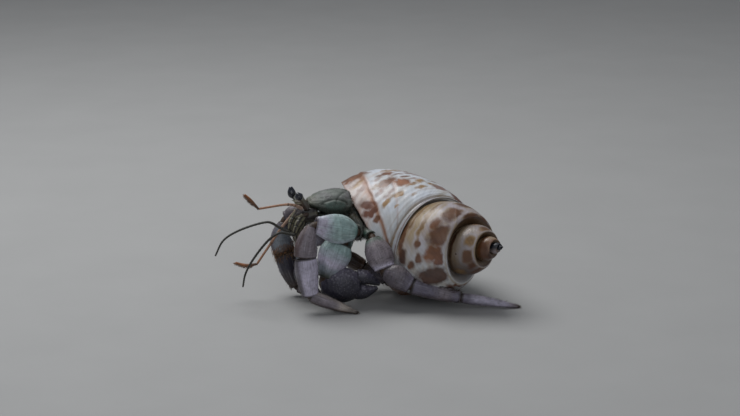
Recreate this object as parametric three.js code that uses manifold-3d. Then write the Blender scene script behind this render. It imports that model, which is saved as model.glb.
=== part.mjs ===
// Land hermit crab walking with its spired, channel-sutured snail shell.
// Millimetres, +Z up.  The crab's head points to -X and its left side to -Y.
// The origin lies on the ground under the middle of the animal.
import * as THREE from 'three';
import { mergeVertices } from 'three/addons/utils/BufferGeometryUtils.js';
import Module from 'manifold-3d';

const wasm = await Module();
wasm.setup();
const { Manifold, Mesh } = wasm;

// ---- driving dimensions -------------------------------------------------
const MIDDLE = [-0.76, 6.66];  // middle of the animal in the modelling frame below
const GAP = 0.25;               // clearance between neighbouring pieces
const WELD = 1e-3;              // vertices closer than this are one
const LIMB_SIDES = 8;
const FEELER_SIDES = 6;

const SHELL = {
  apex: [33.0, -12.5, 17.5],
  yaw: 0.70,                    // axis turned away from -X towards +Y, radians
  pitch: -0.122,                // axis rise towards the mouth
  lipAngle: 1.563,              // where the last whorl ends, from the top towards the near side
  ringsPerTurn: 14,
  rings: 63,
  sectionSteps: 9,
  radius: 10.57,                // suture radius at the lip
  reach: 27.5,                  // suture distance from the apex at the lip
  radiusDecay: 0.733,
  reachDecay: 0.627,
  radiusEase: 1.503,            // the last turn grows more slowly in radius ...
  reachEase: -0.936,            // ... and runs down the spire faster
  easeTurns: 0.55,
  wall: 1.1,
  pillar: { length: 52, width: 8 },
  mouthRings: 9,                // how far the hollow runs back from the lip
};

// Whorl sections, in suture radii from the suture point: [outward, towards the mouth].
const SPIRE_WHORL = [
  [0, 0], [0.15, 0.16], [0.43, 0.7], [0.46, 1.35], [0.24, 2.0], [-0.25, 2.6], [-0.62, 2.75]];
const LAST_WHORL = [
  [0, 0], [0.16, 0.16], [0.46, 0.7], [0.64, 1.6], [0.46, 2.3], [-0.1, 2.85], [-0.62, 2.85]];
const COLUMELLA = [[-0.82, 2.4], [-0.82, 1.3], [-0.45, 0.35]];

// The plane of the mouth's rim: what lies in front of it is cut away.
const MOUTH = { point: [-3.8, 5, 23.4], normal: [-0.87, -0.13, -0.49] };

const COLOURS = {
  shell: 0xd9c6b0,
  shield: 0x7f8a80,
  thorax: 0x3c4438,
  abdomen: 0x8c5a4c,
  head: 0x4a4034,
  stalk: 0xb9bcb4,
  cornea: 0x14151c,
  feeler: 0x4b4a44,
  antennule: 0x9c6f4c,
  peduncle: 0x6f6d3f,
  mouthpart: 0x5b5346,
  turquoise: 0x8fc4bd,
  lavender: 0xa79fb8,
  mauve: 0x8b7f8f,
  claw: 0x3f3d5a,
  purple: 0x6d6580,
  dactyl: 0xc9bdb6,
};

// ---- solids ---------------------------------------------------------------
const vec = (p) => new THREE.Vector3(...p);

function solidOf(geometry) {
  geometry.deleteAttribute('normal');
  geometry.deleteAttribute('uv');
  const merged = mergeVertices(geometry, WELD);
  return new Manifold(new Mesh({
    numProp: 3,
    vertProperties: merged.attributes.position.array,
    triVerts: Uint32Array.from(merged.index.array),
  }));
}

function geometryOf(solid) {
  const { vertProperties, triVerts } = solid.getMesh();
  const geometry = new THREE.BufferGeometry();
  geometry.setAttribute('position', new THREE.BufferAttribute(vertProperties, 3));
  geometry.setIndex(new THREE.BufferAttribute(triVerts, 1));
  return geometry;
}

// The largest body of a solid, its near-coincident vertices welded first.
function mainBody(solid) {
  const bodies = solidOf(geometryOf(solid)).decompose();
  return bodies.sort((a, b) => b.volume() - a.volume())[0];
}

// A capped cylinder whose rings are moved by place(along 0..1, angle, spread 0..1).
function sweep(rings, sides, place) {
  const geometry = new THREE.CylinderGeometry(1, 1, 1, sides, rings);
  const at = geometry.attributes.position;
  for (let i = 0; i < at.count; i += 1) {
    const spread = Math.hypot(at.getX(i), at.getZ(i));
    const angle = Math.atan2(at.getX(i), at.getZ(i));
    const p = place(0.5 - at.getY(i), angle, spread);
    at.setXYZ(i, p.x, p.y, p.z);
  }
  return solidOf(geometry);
}

const profile = (values) => {
  const points = values.map((v, i) => new THREE.Vector2(i / (values.length - 1), v));
  const curve = new THREE.SplineCurve(points);
  return (along) => curve.getPoint(along).y;
};

// A limb segment: an oval section carried along a smooth path.
// wide = half width in the plane of the limb, thick = half thickness towards `side`.
function limb({ path, wide, thick, side = [0.35, -0.93, 0.1], rings = 4, sides = LIMB_SIDES }) {
  const curve = new THREE.CatmullRomCurve3(path.map(vec), false, 'centripetal');
  const wideAt = profile(wide);
  const thickAt = profile(thick);
  return (grow) => sweep(rings, sides, (along, angle, spread) => {
    const axis = curve.getTangent(along);
    const out = vec(side).addScaledVector(axis, -vec(side).dot(axis)).normalize();
    const up = axis.clone().cross(out);
    const end = (along < 0.001 ? -1 : 0) + (along > 0.999 ? 1 : 0);
    const a = spread * (thickAt(along) + grow) * Math.sin(angle);
    const b = spread * (wideAt(along) + grow) * Math.cos(angle);
    return curve.getPoint(along).addScaledVector(axis, end * grow)
      .addScaledVector(out, a).addScaledVector(up, b);
  });
}

const joined = (...makers) => (grow) => makers.map((make) => make(grow)).reduce((a, b) => a.add(b));

// A half space as a large box whose one face passes through `point`.
function halfSpace(point, normal, size = 160) {
  const box = new THREE.BoxGeometry(size, size, size);
  box.translate(0, 0, size / 2);
  const turn = new THREE.Quaternion().setFromUnitVectors(new THREE.Vector3(0, 0, 1), vec(normal).normalize());
  box.applyQuaternion(turn);
  box.translate(...point);
  return solidOf(box);
}

// ---- shell ------------------------------------------------------------------
function shellFrame() {
  const { yaw, pitch } = SHELL;
  const axis = new THREE.Vector3(
    -Math.cos(yaw) * Math.cos(pitch), Math.sin(yaw) * Math.cos(pitch), Math.sin(pitch));
  const top = new THREE.Vector3(0, 0, 1).addScaledVector(axis, -axis.z).normalize();
  return { axis, top, near: top.clone().cross(axis) };
}

// Shrinks a size as the spiral is followed back by `turns` from the lip.
function wound(size, decay, ease, turns) {
  const easing = ease * SHELL.easeTurns * (1 - Math.exp(-turns / SHELL.easeTurns));
  return size * Math.exp(-decay * (turns - easing));
}

// The closed section of a whorl, its outer side moved out by `offset` mm.
// The spire's section swells into the last whorl's over the last turn.
function whorlSection(offset, scale, turns) {
  const swell = THREE.MathUtils.smoothstep(1 - turns, 0.05, 0.6);
  const points = SPIRE_WHORL.map(([r, h], i) => (
    new THREE.Vector2(r, h).lerp(new THREE.Vector2(...LAST_WHORL[i]), swell)));
  const outer = new THREE.SplineCurve(points).getPoints(SHELL.sectionSteps);
  const inner = COLUMELLA.map(([r, h]) => new THREE.Vector2(r, h));
  const ring = [...outer, ...inner];
  const section = ring.map((p, i) => {
    const before = ring[(i + ring.length - 1) % ring.length];
    const after = ring[(i + 1) % ring.length];
    const normal = new THREE.Vector2(after.y - before.y, before.x - after.x).normalize();
    return p.clone().addScaledVector(normal, offset / scale);
  });
  return section.reverse();
}

// A stretch of the spiral between two rings, counted back from the lip.
function whorls(firstRing, lastRing, offset) {
  const { axis, top, near } = shellFrame();
  const sides = SHELL.sectionSteps + 1 + COLUMELLA.length;
  return sweep(lastRing - firstRing, sides, (along, angle, spread) => {
    const turns = (lastRing + (firstRing - lastRing) * along) / SHELL.ringsPerTurn;
    const radius = wound(SHELL.radius, SHELL.radiusDecay, SHELL.radiusEase, turns);
    const reach = wound(SHELL.reach, SHELL.reachDecay, SHELL.reachEase, turns);
    const section = whorlSection(offset, radius, turns);
    const index = Math.round((angle / (2 * Math.PI)) * sides + sides) % sides;
    const middle = section.reduce((sum, p) => sum.add(p), new THREE.Vector2()).divideScalar(sides);
    const p = middle.lerp(section[index], spread);
    const turned = SHELL.lipAngle - 2 * Math.PI * turns;
    const out = top.clone().multiplyScalar(Math.cos(turned)).addScaledVector(near, Math.sin(turned));
    return vec(SHELL.apex).addScaledVector(out, radius * (1 + p.x))
      .addScaledVector(axis, reach + radius * p.y);
  });
}

// The pillar that the whorls wind round.
function pillar() {
  const { axis } = shellFrame();
  const { length, width } = SHELL.pillar;
  const cone = new THREE.CylinderGeometry(width / 2, 0.1, length, 10);
  cone.translate(0, length / 2, 0);
  cone.applyQuaternion(new THREE.Quaternion().setFromUnitVectors(new THREE.Vector3(0, 1, 0), axis));
  cone.translate(...SHELL.apex);
  return solidOf(cone);
}

// The whole spiral in half-turn stretches that share one ring, hollowed at the mouth.
function shell(grow) {
  const half = SHELL.ringsPerTurn / 2;
  let solid = pillar().add(whorls(0, half + 1, grow));
  for (let first = half; first < SHELL.rings; first += half) {
    solid = solid.add(whorls(first, Math.min(first + half + 1, SHELL.rings), grow));
  }
  const innerWhorl = whorls(2 * half - 1, 3 * half + 2, grow);
  const hollow = whorls(-1, SHELL.mouthRings, -SHELL.wall - grow).subtract(innerWhorl);
  const front = vec(MOUTH.point).addScaledVector(vec(MOUTH.normal).normalize(), grow);
  return solid.subtract(hollow)
    .subtract(halfSpace(front.toArray(), MOUTH.normal))
    .subtract(halfSpace([0, 0, -grow], [0, 0, -1]));
}

// ---- the animal ---------------------------------------------------------------
const parts = [];
const add = (name, colour, roughness, make) => parts.push({ name, colour, roughness, make });

add('shell', COLOURS.shell, 0.45, shell);

// Walking legs: ischium, merus, carpus, propodus and dactyl, each with its own half widths.
const LEGS = {
  leg2_left: {
    ischium: [[[-3.2, 1.6, 18.4], [-3.3, -1.2, 18.6], [-3.4, -3.7, 18.9]],
      [2.0, 2.3, 2.2, 1.9], [1.6, 1.8, 1.7, 1.4]],
    merus: [[[-3.6, -4.2, 19.0], [-8.8, -7.2, 20.9], [-13.4, -8.9, 22.2]],
      [1.9, 3.3, 3.7, 3.4, 2.8, 2.1], [1.2, 1.9, 2.1, 2.0, 1.7, 1.3]],
    carpus: [[[-14.4, -9.2, 22.2], [-15.6, -9.8, 18.2], [-15.9, -10.1, 14.5]],
      [1.1, 2.0, 2.5, 3.0, 2.9], [1.0, 1.8, 2.1, 2.2, 2.0]],
    propodus: [[[-15.9, -10.1, 14.0], [-15.5, -10.4, 9.6], [-14.8, -10.6, 4.7]],
      [2.8, 3.0, 2.8, 2.5, 2.1], [1.9, 2.1, 2.1, 1.9, 1.6]],
    dactyl: [[[-14.6, -10.6, 4.5], [-11.4, -10.8, 3.2], [-7.2, -11.0, 1.7], [-3.1, -11.2, 0.3]],
      [1.5, 1.6, 1.3, 0.9, 0.4], [1.3, 1.4, 1.1, 0.8, 0.4]],
  },
  leg3_left: {
    ischium: [[[-1.2, 2.2, 17.8], [-0.3, -0.8, 18.0], [0.5, -3.4, 17.8]],
      [1.9, 2.1, 2.0, 1.7], [1.6, 1.7, 1.6, 1.3]],
    merus: [[[0.6, -4.0, 17.3], [2.3, -6.0, 13.9], [3.7, -7.5, 10.6]],
      [1.9, 3.1, 3.5, 3.3, 2.5], [1.3, 2.0, 2.2, 2.1, 1.7]],
    carpus: [[[3.4, -7.9, 9.9], [6.8, -8.3, 8.7], [10.0, -8.3, 6.8]],
      [1.5, 2.6, 2.9, 2.7, 2.3], [1.3, 1.9, 2.1, 2.0, 1.8]],
    propodus: [[[10.4, -8.2, 6.5], [16.5, -7.8, 4.7], [22.3, -7.4, 3.1]],
      [2.1, 2.1, 1.9, 1.7, 1.4], [1.7, 1.8, 1.6, 1.5, 1.2]],
    dactyl: [[[22.7, -7.4, 3.0], [30.2, -7.0, 1.8], [37.3, -6.3, 0.3]],
      [1.3, 1.25, 1.0, 0.75, 0.4], [1.15, 1.1, 0.9, 0.7, 0.4]],
  },
  leg2_right: {
    ischium: [[[-9.4, 4.4, 18.8], [-11.0, 4.9, 19.0], [-12.6, 5.3, 19.4]],
      [1.9, 2.1, 2.0, 1.8], [1.5, 1.6, 1.5, 1.3]],
    merus: [[[-13.0, 5.4, 19.6], [-18.0, 6.0, 20.9], [-21.4, 6.0, 19.7]],
      [1.9, 2.6, 2.8, 2.5, 1.9], [1.3, 1.9, 2.0, 1.9, 1.5]],
    carpus: [[[-21.8, 5.8, 18.8], [-22.7, 5.4, 14.8], [-21.7, 4.8, 11.5]],
      [1.4, 2.2, 2.6, 2.9, 2.7], [1.2, 1.9, 2.1, 2.1, 1.9]],
    propodus: [[[-21.5, 4.7, 11.0], [-20.3, 4.3, 6.6], [-18.8, 4.0, 2.7]],
      [2.7, 2.8, 2.5, 2.1, 1.7], [1.9, 2.0, 1.9, 1.7, 1.4]],
    dactyl: [[[-18.2, 3.9, 2.3], [-14.2, 2.9, 1.4], [-10.4, 2.1, 0.3]],
      [1.5, 1.4, 1.0, 0.7, 0.4], [1.2, 1.1, 0.9, 0.7, 0.4]],
  },
  leg3_right: {
    ischium: [[[-4.2, 5.6, 17.8], [-4.7, 6.4, 16.9], [-5.1, 7.0, 15.9]],
      [1.6, 1.8, 1.8, 1.5], [1.4, 1.5, 1.5, 1.2]],
    merus: [[[-5.2, 7.2, 15.4], [-7.0, 8.6, 12.4], [-7.3, 9.2, 9.8]],
      [1.5, 2.3, 2.6, 2.5, 2.0], [1.2, 1.8, 2.0, 1.9, 1.5]],
    carpus: [[[-6.9, 9.4, 9.2], [-4.4, 9.4, 7.7], [-1.8, 9.3, 6.3]],
      [1.3, 1.9, 2.0, 1.9, 1.7], [1.2, 1.8, 1.9, 1.8, 1.6]],
    propodus: [[[-1.4, 9.3, 6.1], [1.4, 8.9, 4.4], [4.0, 8.3, 2.7]],
      [1.6, 1.6, 1.5, 1.4, 1.2], [1.5, 1.5, 1.4, 1.3, 1.1]],
    dactyl: [[[4.4, 8.2, 2.5], [7.6, 7.4, 1.5], [10.6, 6.4, 0.3]],
      [1.1, 1.0, 0.8, 0.6, 0.4], [1.0, 0.9, 0.8, 0.6, 0.4]],
  },
};
const LEG_COLOURS = {
  leg2_left: [COLOURS.mauve, COLOURS.turquoise, COLOURS.mauve, COLOURS.lavender, COLOURS.dactyl],
  leg3_left: [COLOURS.mauve, COLOURS.mauve, COLOURS.purple, COLOURS.purple, COLOURS.purple],
  leg2_right: [COLOURS.mauve, COLOURS.mauve, COLOURS.lavender, COLOURS.claw, COLOURS.dactyl],
  leg3_right: [COLOURS.mauve, COLOURS.mauve, COLOURS.mauve, COLOURS.mauve, COLOURS.dactyl],
};

for (const [leg, segments] of Object.entries(LEGS)) {
  const names = Object.keys(segments);
  for (const name of [...names].reverse()) {
    const [path, wide, thick] = segments[name];
    const rings = name === 'ischium' ? 3 : 4;
    add(`${leg}_${name}`, LEG_COLOURS[leg][names.indexOf(name)], 0.5, limb({ path, wide, thick, rings }));
  }
}

// Chelipeds: the left one is the larger.  The pollex is the palm's fixed finger.
add('claw_left_dactyl', COLOURS.claw, 0.5, limb({
  path: [[-3.2, -6.1, 8.2], [-0.3, -5.8, 7.6], [2.4, -5.3, 5.9]],
  wide: [1.8, 2.0, 1.7, 1.2, 0.5], thick: [1.6, 1.8, 1.5, 1.0, 0.5],
}));
add('claw_left_palm', COLOURS.claw, 0.5, joined(
  limb({
    path: [[-12.0, -6.6, 5.6], [-7.4, -6.4, 6.0], [-2.6, -6.0, 6.2]],
    wide: [2.6, 4.0, 4.6, 4.3, 3.0], thick: [1.8, 2.7, 3.1, 2.8, 2.0],
  }),
  limb({
    path: [[-5.0, -6.1, 4.6], [-1.3, -5.8, 4.2], [1.9, -5.3, 5.0]],
    wide: [1.8, 2.2, 1.9, 1.2, 0.5], thick: [1.6, 1.9, 1.6, 1.0, 0.5],
  }),
));
add('claw_left_carpus', COLOURS.turquoise, 0.5, limb({
  path: [[-7.6, -4.2, 16.2], [-9.2, -5.5, 12.4], [-11.0, -6.6, 8.0]],
  wide: [3.5, 4.3, 4.1, 3.3, 2.3], thick: [2.0, 2.7, 2.9, 2.6, 1.9],
}));
add('claw_left_merus', COLOURS.turquoise, 0.5, limb({
  path: [[-5.6, 0.6, 17.0], [-6.4, -1.6, 16.4], [-6.4, -3.9, 15.9]],
  wide: [2.0, 2.4, 2.6, 2.5, 2.2], thick: [1.6, 2.0, 2.2, 2.2, 1.9], side: [1, 0, 0],
}));
add('claw_right_dactyl', COLOURS.claw, 0.5, limb({
  path: [[-15.6, -0.6, 5.2], [-14.0, -1.5, 3.6], [-12.4, -2.2, 2.0]],
  wide: [0.9, 1.1, 0.9, 0.7, 0.4], thick: [1.0, 1.1, 0.9, 0.7, 0.4],
}));
add('claw_right_palm', COLOURS.claw, 0.5, joined(
  limb({
    path: [[-17.3, 1.9, 9.0], [-16.9, 0.9, 6.8], [-15.7, -0.4, 4.6]],
    wide: [1.5, 2.3, 2.6, 2.4, 1.8], thick: [1.4, 2.0, 2.2, 2.0, 1.5],
  }),
  limb({
    path: [[-16.4, 0.0, 4.8], [-15.1, -1.0, 2.9], [-13.3, -1.9, 1.2]],
    wide: [1.2, 1.2, 1.0, 0.7, 0.4], thick: [1.1, 1.1, 0.9, 0.7, 0.4],
  }),
));
add('claw_right_carpus', COLOURS.mauve, 0.5, limb({
  path: [[-14.6, 3.0, 14.2], [-16.2, 2.6, 12.0], [-17.2, 2.1, 9.6]],
  wide: [1.5, 2.2, 2.5, 2.3, 1.6], thick: [1.3, 1.9, 2.1, 1.9, 1.4],
}));
add('claw_right_merus', COLOURS.mauve, 0.5, limb({
  path: [[-9.5, 3.4, 17.0], [-12.0, 3.4, 16.0], [-14.2, 3.1, 14.7]],
  wide: [1.7, 2.1, 2.3, 2.2, 1.6], thick: [1.4, 1.8, 2.0, 1.8, 1.3],
}));

// Head: eyes, antennules, antennae and the outer mouthparts.
const EYES = {
  left: { base: [-15.7, -2.4, 24.9], tip: [-17.2, -3.8, 28.0], cornea: [-17.7, -4.1, 28.9] },
  right: { base: [-18.0, 2.0, 24.9], tip: [-19.2, 2.8, 26.9], cornea: [-19.7, 3.1, 28.6] },
};
for (const [side, eye] of Object.entries(EYES)) {
  add(`eye_${side}`, COLOURS.cornea, 0.12, limb({
    path: [eye.tip, eye.cornea], wide: [0.75, 1.15, 1.2, 1.0, 0.45], thick: [0.75, 1.15, 1.2, 1.0, 0.45],
    rings: 5, sides: 8,
  }));
  add(`eyestalk_${side}`, COLOURS.stalk, 0.5, limb({
    path: [eye.base, eye.tip], wide: [0.95, 0.85, 0.85, 0.95, 1.0], thick: [0.9, 0.8, 0.8, 0.85, 0.9],
    rings: 3, sides: 8,
  }));
}

const FEELERS = {
  antennule_left: [COLOURS.antennule, [[-16.9, -2.9, 24.8], [-18.5, -3.8, 25.8], [-20.3, -4.5, 26.3],
    [-27.5, -6.0, 25.6]], [0.5, 0.4, 0.34, 0.3]],
  antennule_left_tip: [COLOURS.antennule, [[-27.8, -6.0, 25.8], [-29.5, -6.0, 27.7], [-30.9, -6.0, 29.2]],
    [0.36, 0.5, 0.3]],
  antennule_right: [COLOURS.antennule, [[-18.6, 2.0, 22.9], [-21.9, 1.5, 19.1], [-24.9, 1.0, 14.8],
    [-28.4, 0.0, 9.7]], [0.5, 0.4, 0.34, 0.3]],
  antennule_right_tip: [COLOURS.antennule, [[-28.8, 0.0, 9.4], [-31.2, 0.0, 9.2], [-33.8, 0.0, 9.9]],
    [0.36, 0.5, 0.3]],
  antenna_left_base: [COLOURS.peduncle, [[-16.5, -2.9, 22.9], [-17.8, -4.3, 21.2], [-18.6, -5.3, 19.4]],
    [1.0, 1.0, 0.75]],
  antenna_left_inner: [COLOURS.feeler, [[-18.8, -5.8, 18.9], [-20.6, -6.2, 19.3], [-22.2, -6.5, 19.6],
    [-24.5, -7.0, 18.4]], [0.42, 0.38, 0.36, 0.34]],
  antenna_left_outer: [COLOURS.feeler, [[-24.8, -7.0, 18.1], [-28.4, -7.3, 13.8], [-30.9, -7.7, 9.4],
    [-31.6, -8.0, 6.0]], [0.34, 0.31, 0.28, 0.26]],
  antenna_right_base: [COLOURS.peduncle, [[-18.4, 1.3, 22.4], [-19.5, 0.4, 20.6], [-19.9, -0.6, 18.9]],
    [1.0, 1.0, 0.75]],
  antenna_right_inner: [COLOURS.feeler, [[-20.0, -0.9, 18.3], [-22.8, -1.1, 19.5], [-24.3, -1.2, 20.5],
    [-25.7, -1.3, 20.9]], [0.42, 0.38, 0.36, 0.34]],
  antenna_right_outer: [COLOURS.feeler, [[-26.0, -1.3, 20.9], [-32.8, -1.7, 18.8], [-36.7, -2.1, 16.3],
    [-38.7, -2.5, 12.5]], [0.34, 0.31, 0.28, 0.26]],
  maxilliped_left: [COLOURS.mouthpart, [[-16.6, -1.9, 21.0], [-18.2, -2.4, 17.8], [-17.6, -2.5, 15.0]],
    [0.8, 0.8, 0.5]],
  maxilliped_right: [COLOURS.mouthpart, [[-17.6, 0.9, 20.6], [-19.0, 0.8, 17.4], [-18.3, 0.7, 15.2]],
    [0.8, 0.8, 0.5]],
};
for (const [name, [colour, path, radii]] of Object.entries(FEELERS)) {
  const rings = 2 * path.length - 1;
  add(name, colour, 0.55, limb({ path, wide: radii, thick: radii, rings, sides: FEELER_SIDES }));
}

// Fourth legs: short, folded up against the shell's rim.
add('leg4_left', COLOURS.thorax, 0.6, limb({
  path: [[-3.2, -0.6, 16.6], [-2.9, -1.8, 19.6], [-4.6, -0.6, 22.6]],
  wide: [1.2, 1.4, 1.4, 1.2, 0.8], thick: [1.0, 1.2, 1.2, 1.0, 0.7],
}));
add('leg4_right', COLOURS.thorax, 0.6, limb({
  path: [[-4.0, 8.6, 17.2], [-3.4, 10.4, 19.8], [-5.0, 10.2, 22.2]],
  wide: [1.2, 1.4, 1.4, 1.2, 0.8], thick: [1.0, 1.2, 1.2, 1.0, 0.7],
}));

// Trunk: the shield on top, the head in front and the thorax running into the shell.
add('carapace_shield', COLOURS.shield, 0.5, limb({
  path: [[-15.4, 0.2, 25.7], [-11.0, 1.6, 25.5], [-5.6, 3.2, 25.2]],
  wide: [2.4, 3.9, 4.6, 4.9, 4.2], thick: [1.0, 2.2, 2.9, 3.3, 2.8], side: [0, 0, 1], rings: 7, sides: 14,
}));
add('head', COLOURS.head, 0.6, limb({
  path: [[-18.2, -0.7, 22.6], [-16.4, -0.2, 22.8], [-13.8, 0.6, 23.0]],
  wide: [1.6, 2.6, 3.0, 3.2, 3.2], thick: [1.2, 2.0, 2.3, 2.4, 2.4], side: [0, 0, 1], rings: 5, sides: 12,
}));
add('thorax', COLOURS.thorax, 0.6, limb({
  path: [[-14.2, 0.6, 20.6], [-8.0, 2.6, 19.6], [-2.5, 5.4, 19.0], [0.8, 8.0, 19.0]],
  wide: [2.6, 4.4, 5.0, 4.4, 3.0], thick: [2.2, 3.6, 4.0, 3.6, 2.6], side: [0, 0, 1], rings: 6, sides: 12,
}));
add('abdomen', COLOURS.abdomen, 0.6, limb({
  path: [[1.0, 8.4, 19.2], [2.6, 12.0, 21.4], [3.4, 16.4, 21.6], [2.6, 20.0, 19.0]],
  wide: [2.8, 3.2, 3.1, 2.6, 1.4], thick: [2.4, 2.9, 2.9, 2.4, 1.3], side: [0, 0, 1], rings: 7, sides: 10,
}));

// ---- assembly --------------------------------------------------------------------
const overlaps = (a, b) => [0, 1, 2].every((i) => a.min[i] < b.max[i] && b.min[i] < a.max[i]);
const ground = halfSpace([0, 0, 0], [0, 0, -1]);
const crab = new THREE.Group();
crab.position.set(-MIDDLE[0], -MIDDLE[1], 0);

const grown = [];
for (const { name, colour, roughness, make } of parts) {
  let solid = make(0);
  if (name !== 'shell') solid = solid.subtract(ground);
  for (const other of grown) {
    if (overlaps(solid.boundingBox(), other.boundingBox())) solid = solid.subtract(other);
  }
  const geometry = geometryOf(mainBody(mainBody(solid)));
  const mesh = new THREE.Mesh(geometry, new THREE.MeshStandardMaterial({ color: colour, roughness }));
  mesh.name = name;
  crab.add(mesh);
  grown.push(make(GAP));
}

export default crab;
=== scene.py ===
import math
import random

import bpy
import bmesh
from mathutils import Matrix, Vector, noise


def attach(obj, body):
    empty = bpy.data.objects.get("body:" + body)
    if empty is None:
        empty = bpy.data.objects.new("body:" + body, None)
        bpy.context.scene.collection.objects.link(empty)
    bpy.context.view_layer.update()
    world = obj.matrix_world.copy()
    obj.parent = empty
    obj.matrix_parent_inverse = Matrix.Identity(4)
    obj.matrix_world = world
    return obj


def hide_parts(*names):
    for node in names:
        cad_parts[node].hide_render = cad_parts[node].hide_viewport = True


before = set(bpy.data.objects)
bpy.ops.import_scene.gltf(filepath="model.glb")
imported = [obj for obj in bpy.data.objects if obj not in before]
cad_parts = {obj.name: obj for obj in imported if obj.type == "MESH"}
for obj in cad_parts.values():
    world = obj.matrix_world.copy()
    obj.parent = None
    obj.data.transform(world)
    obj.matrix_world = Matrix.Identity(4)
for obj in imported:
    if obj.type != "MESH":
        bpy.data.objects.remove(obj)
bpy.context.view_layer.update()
print("frame loaded:", len(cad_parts), "nodes")

mm = 0.001
middle = (-0.76, 6.66)        # middle of the animal in the modelling frame, as in the CAD source
outward = (0.35, -0.93, 0.1)  # the side that a leg's thickness is measured towards


def at(p):
    return Vector((p[0] - middle[0], p[1] - middle[1], p[2])) * mm


# camera, light and floor
stage = {
    "cameraAt": (0, -496.49, 157.23), "lookAt": (0, 0, 24.2), "lens": 100, "sensor": 36,
    "floorSize": 6.0, "floorColour": (0.40, 0.40, 0.395), "worldColour": (0.80, 0.83, 0.88),
    "worldStrength": 0.22, "keyPower": 1.5, "fillPower": 0.31,
}


def addArea(name, place, aim, size, power, colour):
    light = bpy.data.lights.new(name, "AREA")
    light.shape, light.size, light.energy, light.color = "DISK", size, power, colour
    lamp = bpy.data.objects.new(name, light)
    bpy.context.collection.objects.link(lamp)
    lamp.location = at(place)
    lamp.rotation_euler = (at(aim) - lamp.location).to_track_quat("-Z", "Y").to_euler()


def setStage():
    cameraData = bpy.data.cameras.new("camera")
    cameraData.lens, cameraData.sensor_width = stage["lens"], stage["sensor"]
    cameraData.clip_start, cameraData.clip_end = 0.01, 20
    camera = bpy.data.objects.new("camera", cameraData)
    bpy.context.collection.objects.link(camera)
    camera.location = at(stage["cameraAt"])
    camera.rotation_euler = (at(stage["lookAt"]) - camera.location).to_track_quat("-Z", "Y").to_euler()
    bpy.context.scene.camera = camera

    world = bpy.data.worlds.new("studio")
    world.use_nodes = True
    background = world.node_tree.nodes["Background"]
    background.inputs["Color"].default_value = (*stage["worldColour"], 1)
    background.inputs["Strength"].default_value = stage["worldStrength"]
    bpy.context.scene.world = world
    addArea("key", (-150, 120, 420), (0, 0, 12), 0.34, stage["keyPower"], (0.98, 0.99, 1.0))
    addArea("fill", (60, -420, 260), (0, 0, 12), 0.40, stage["fillPower"], (0.93, 0.96, 1.0))
    bpy.context.scene.view_settings.view_transform = "Standard"


setStage()
print("stage set")


def clearSelection():
    if bpy.context.object and bpy.context.object.mode != "OBJECT":
        bpy.ops.object.mode_set(mode="OBJECT")
    bpy.ops.object.select_all(action="DESELECT")


def activate(piece):
    clearSelection()
    piece.select_set(True)
    bpy.context.view_layer.objects.active = piece


def applyModifier(piece, kind, **settings):
    activate(piece)
    modifier = piece.modifiers.new(kind, kind)
    for key, value in settings.items():
        setattr(modifier, key, value)
    bpy.ops.object.modifier_apply(modifier=modifier.name)


def subdivide(piece, levels):
    applyModifier(piece, "SUBSURF", levels=levels, render_levels=levels)


def joined(name, parts):
    clearSelection()
    for part in parts:
        part.select_set(True)
    bpy.context.view_layer.objects.active = parts[0]
    bpy.ops.object.join()
    piece = bpy.context.object
    piece.name = piece.data.name = name
    return piece


def mix(a, b, t):
    t = min(max(t, 0.0), 1.0)
    return tuple(x + (y - x) * t for x, y in zip(a, b))


def step(low, high, x):
    t = min(max((x - low) / (high - low), 0.0), 1.0)
    return t * t * (3 - 2 * t)


def bell(x, centre, width):
    return math.exp(-((x - centre) / width) ** 2)


def aroundBell(v, centre, width):      # a bell on a closed 0..1 round
    d = abs((v - centre + 0.5) % 1 - 0.5)
    return math.exp(-(d / width) ** 2)


def alongPath(points, t):              # a centripetal curve through the points
    ends = [2 * points[0] - points[1], *points, 2 * points[-1] - points[-2]]
    s = min(max(t, 0.0), 0.99999) * (len(points) - 1)
    i = int(s)
    p = ends[i:i + 4]
    k = [0.0]
    for a, b in zip(p, p[1:]):
        k.append(k[-1] + (b - a).length ** 0.5)
    u = k[1] + (k[2] - k[1]) * (s - i)
    p = [p[j].lerp(p[j + 1], (u - k[j]) / (k[j + 1] - k[j])) for j in range(3)]
    p = [p[j].lerp(p[j + 1], (u - k[j]) / (k[j + 2] - k[j])) for j in range(2)]
    return p[0].lerp(p[1], (u - k[1]) / (k[2] - k[1]))


def profileAt(values, t):              # a smooth run through evenly spaced values
    s = min(max(t, 0.0), 1.0) * (len(values) - 1)
    i = min(int(s), len(values) - 2)
    s -= i
    a, b, c, d = (values[min(max(i + k, 0), len(values) - 1)] for k in (-1, 0, 1, 2))
    v, w = (c - a) / 2, (d - b) / 2
    return (2 * b - 2 * c + v + w) * s ** 3 + (3 * c - 3 * b - 2 * v - w) * s ** 2 + v * s + b


# sweeping a ring by extrude, move, turn and resize
def placeRing(before, ring):
    turn = (ring["turn"] @ before["turn"].transposed()).to_euler("XYZ")
    bpy.ops.transform.translate(value=ring["centre"] - before["centre"])
    for axis, angle in zip("XYZ", turn):
        if abs(angle) > 1e-6:          # with no window the operator turns the other way
            bpy.ops.transform.rotate(value=-angle, orient_axis=axis, center_override=ring["centre"])
    sizes = [ring["size"][k] / before["size"][k] for k in (0, 1)]
    bpy.ops.transform.resize(value=(*sizes, 1), orient_type="GLOBAL", orient_matrix_type="GLOBAL",
                             orient_matrix=ring["turn"], center_override=ring["centre"])


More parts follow.
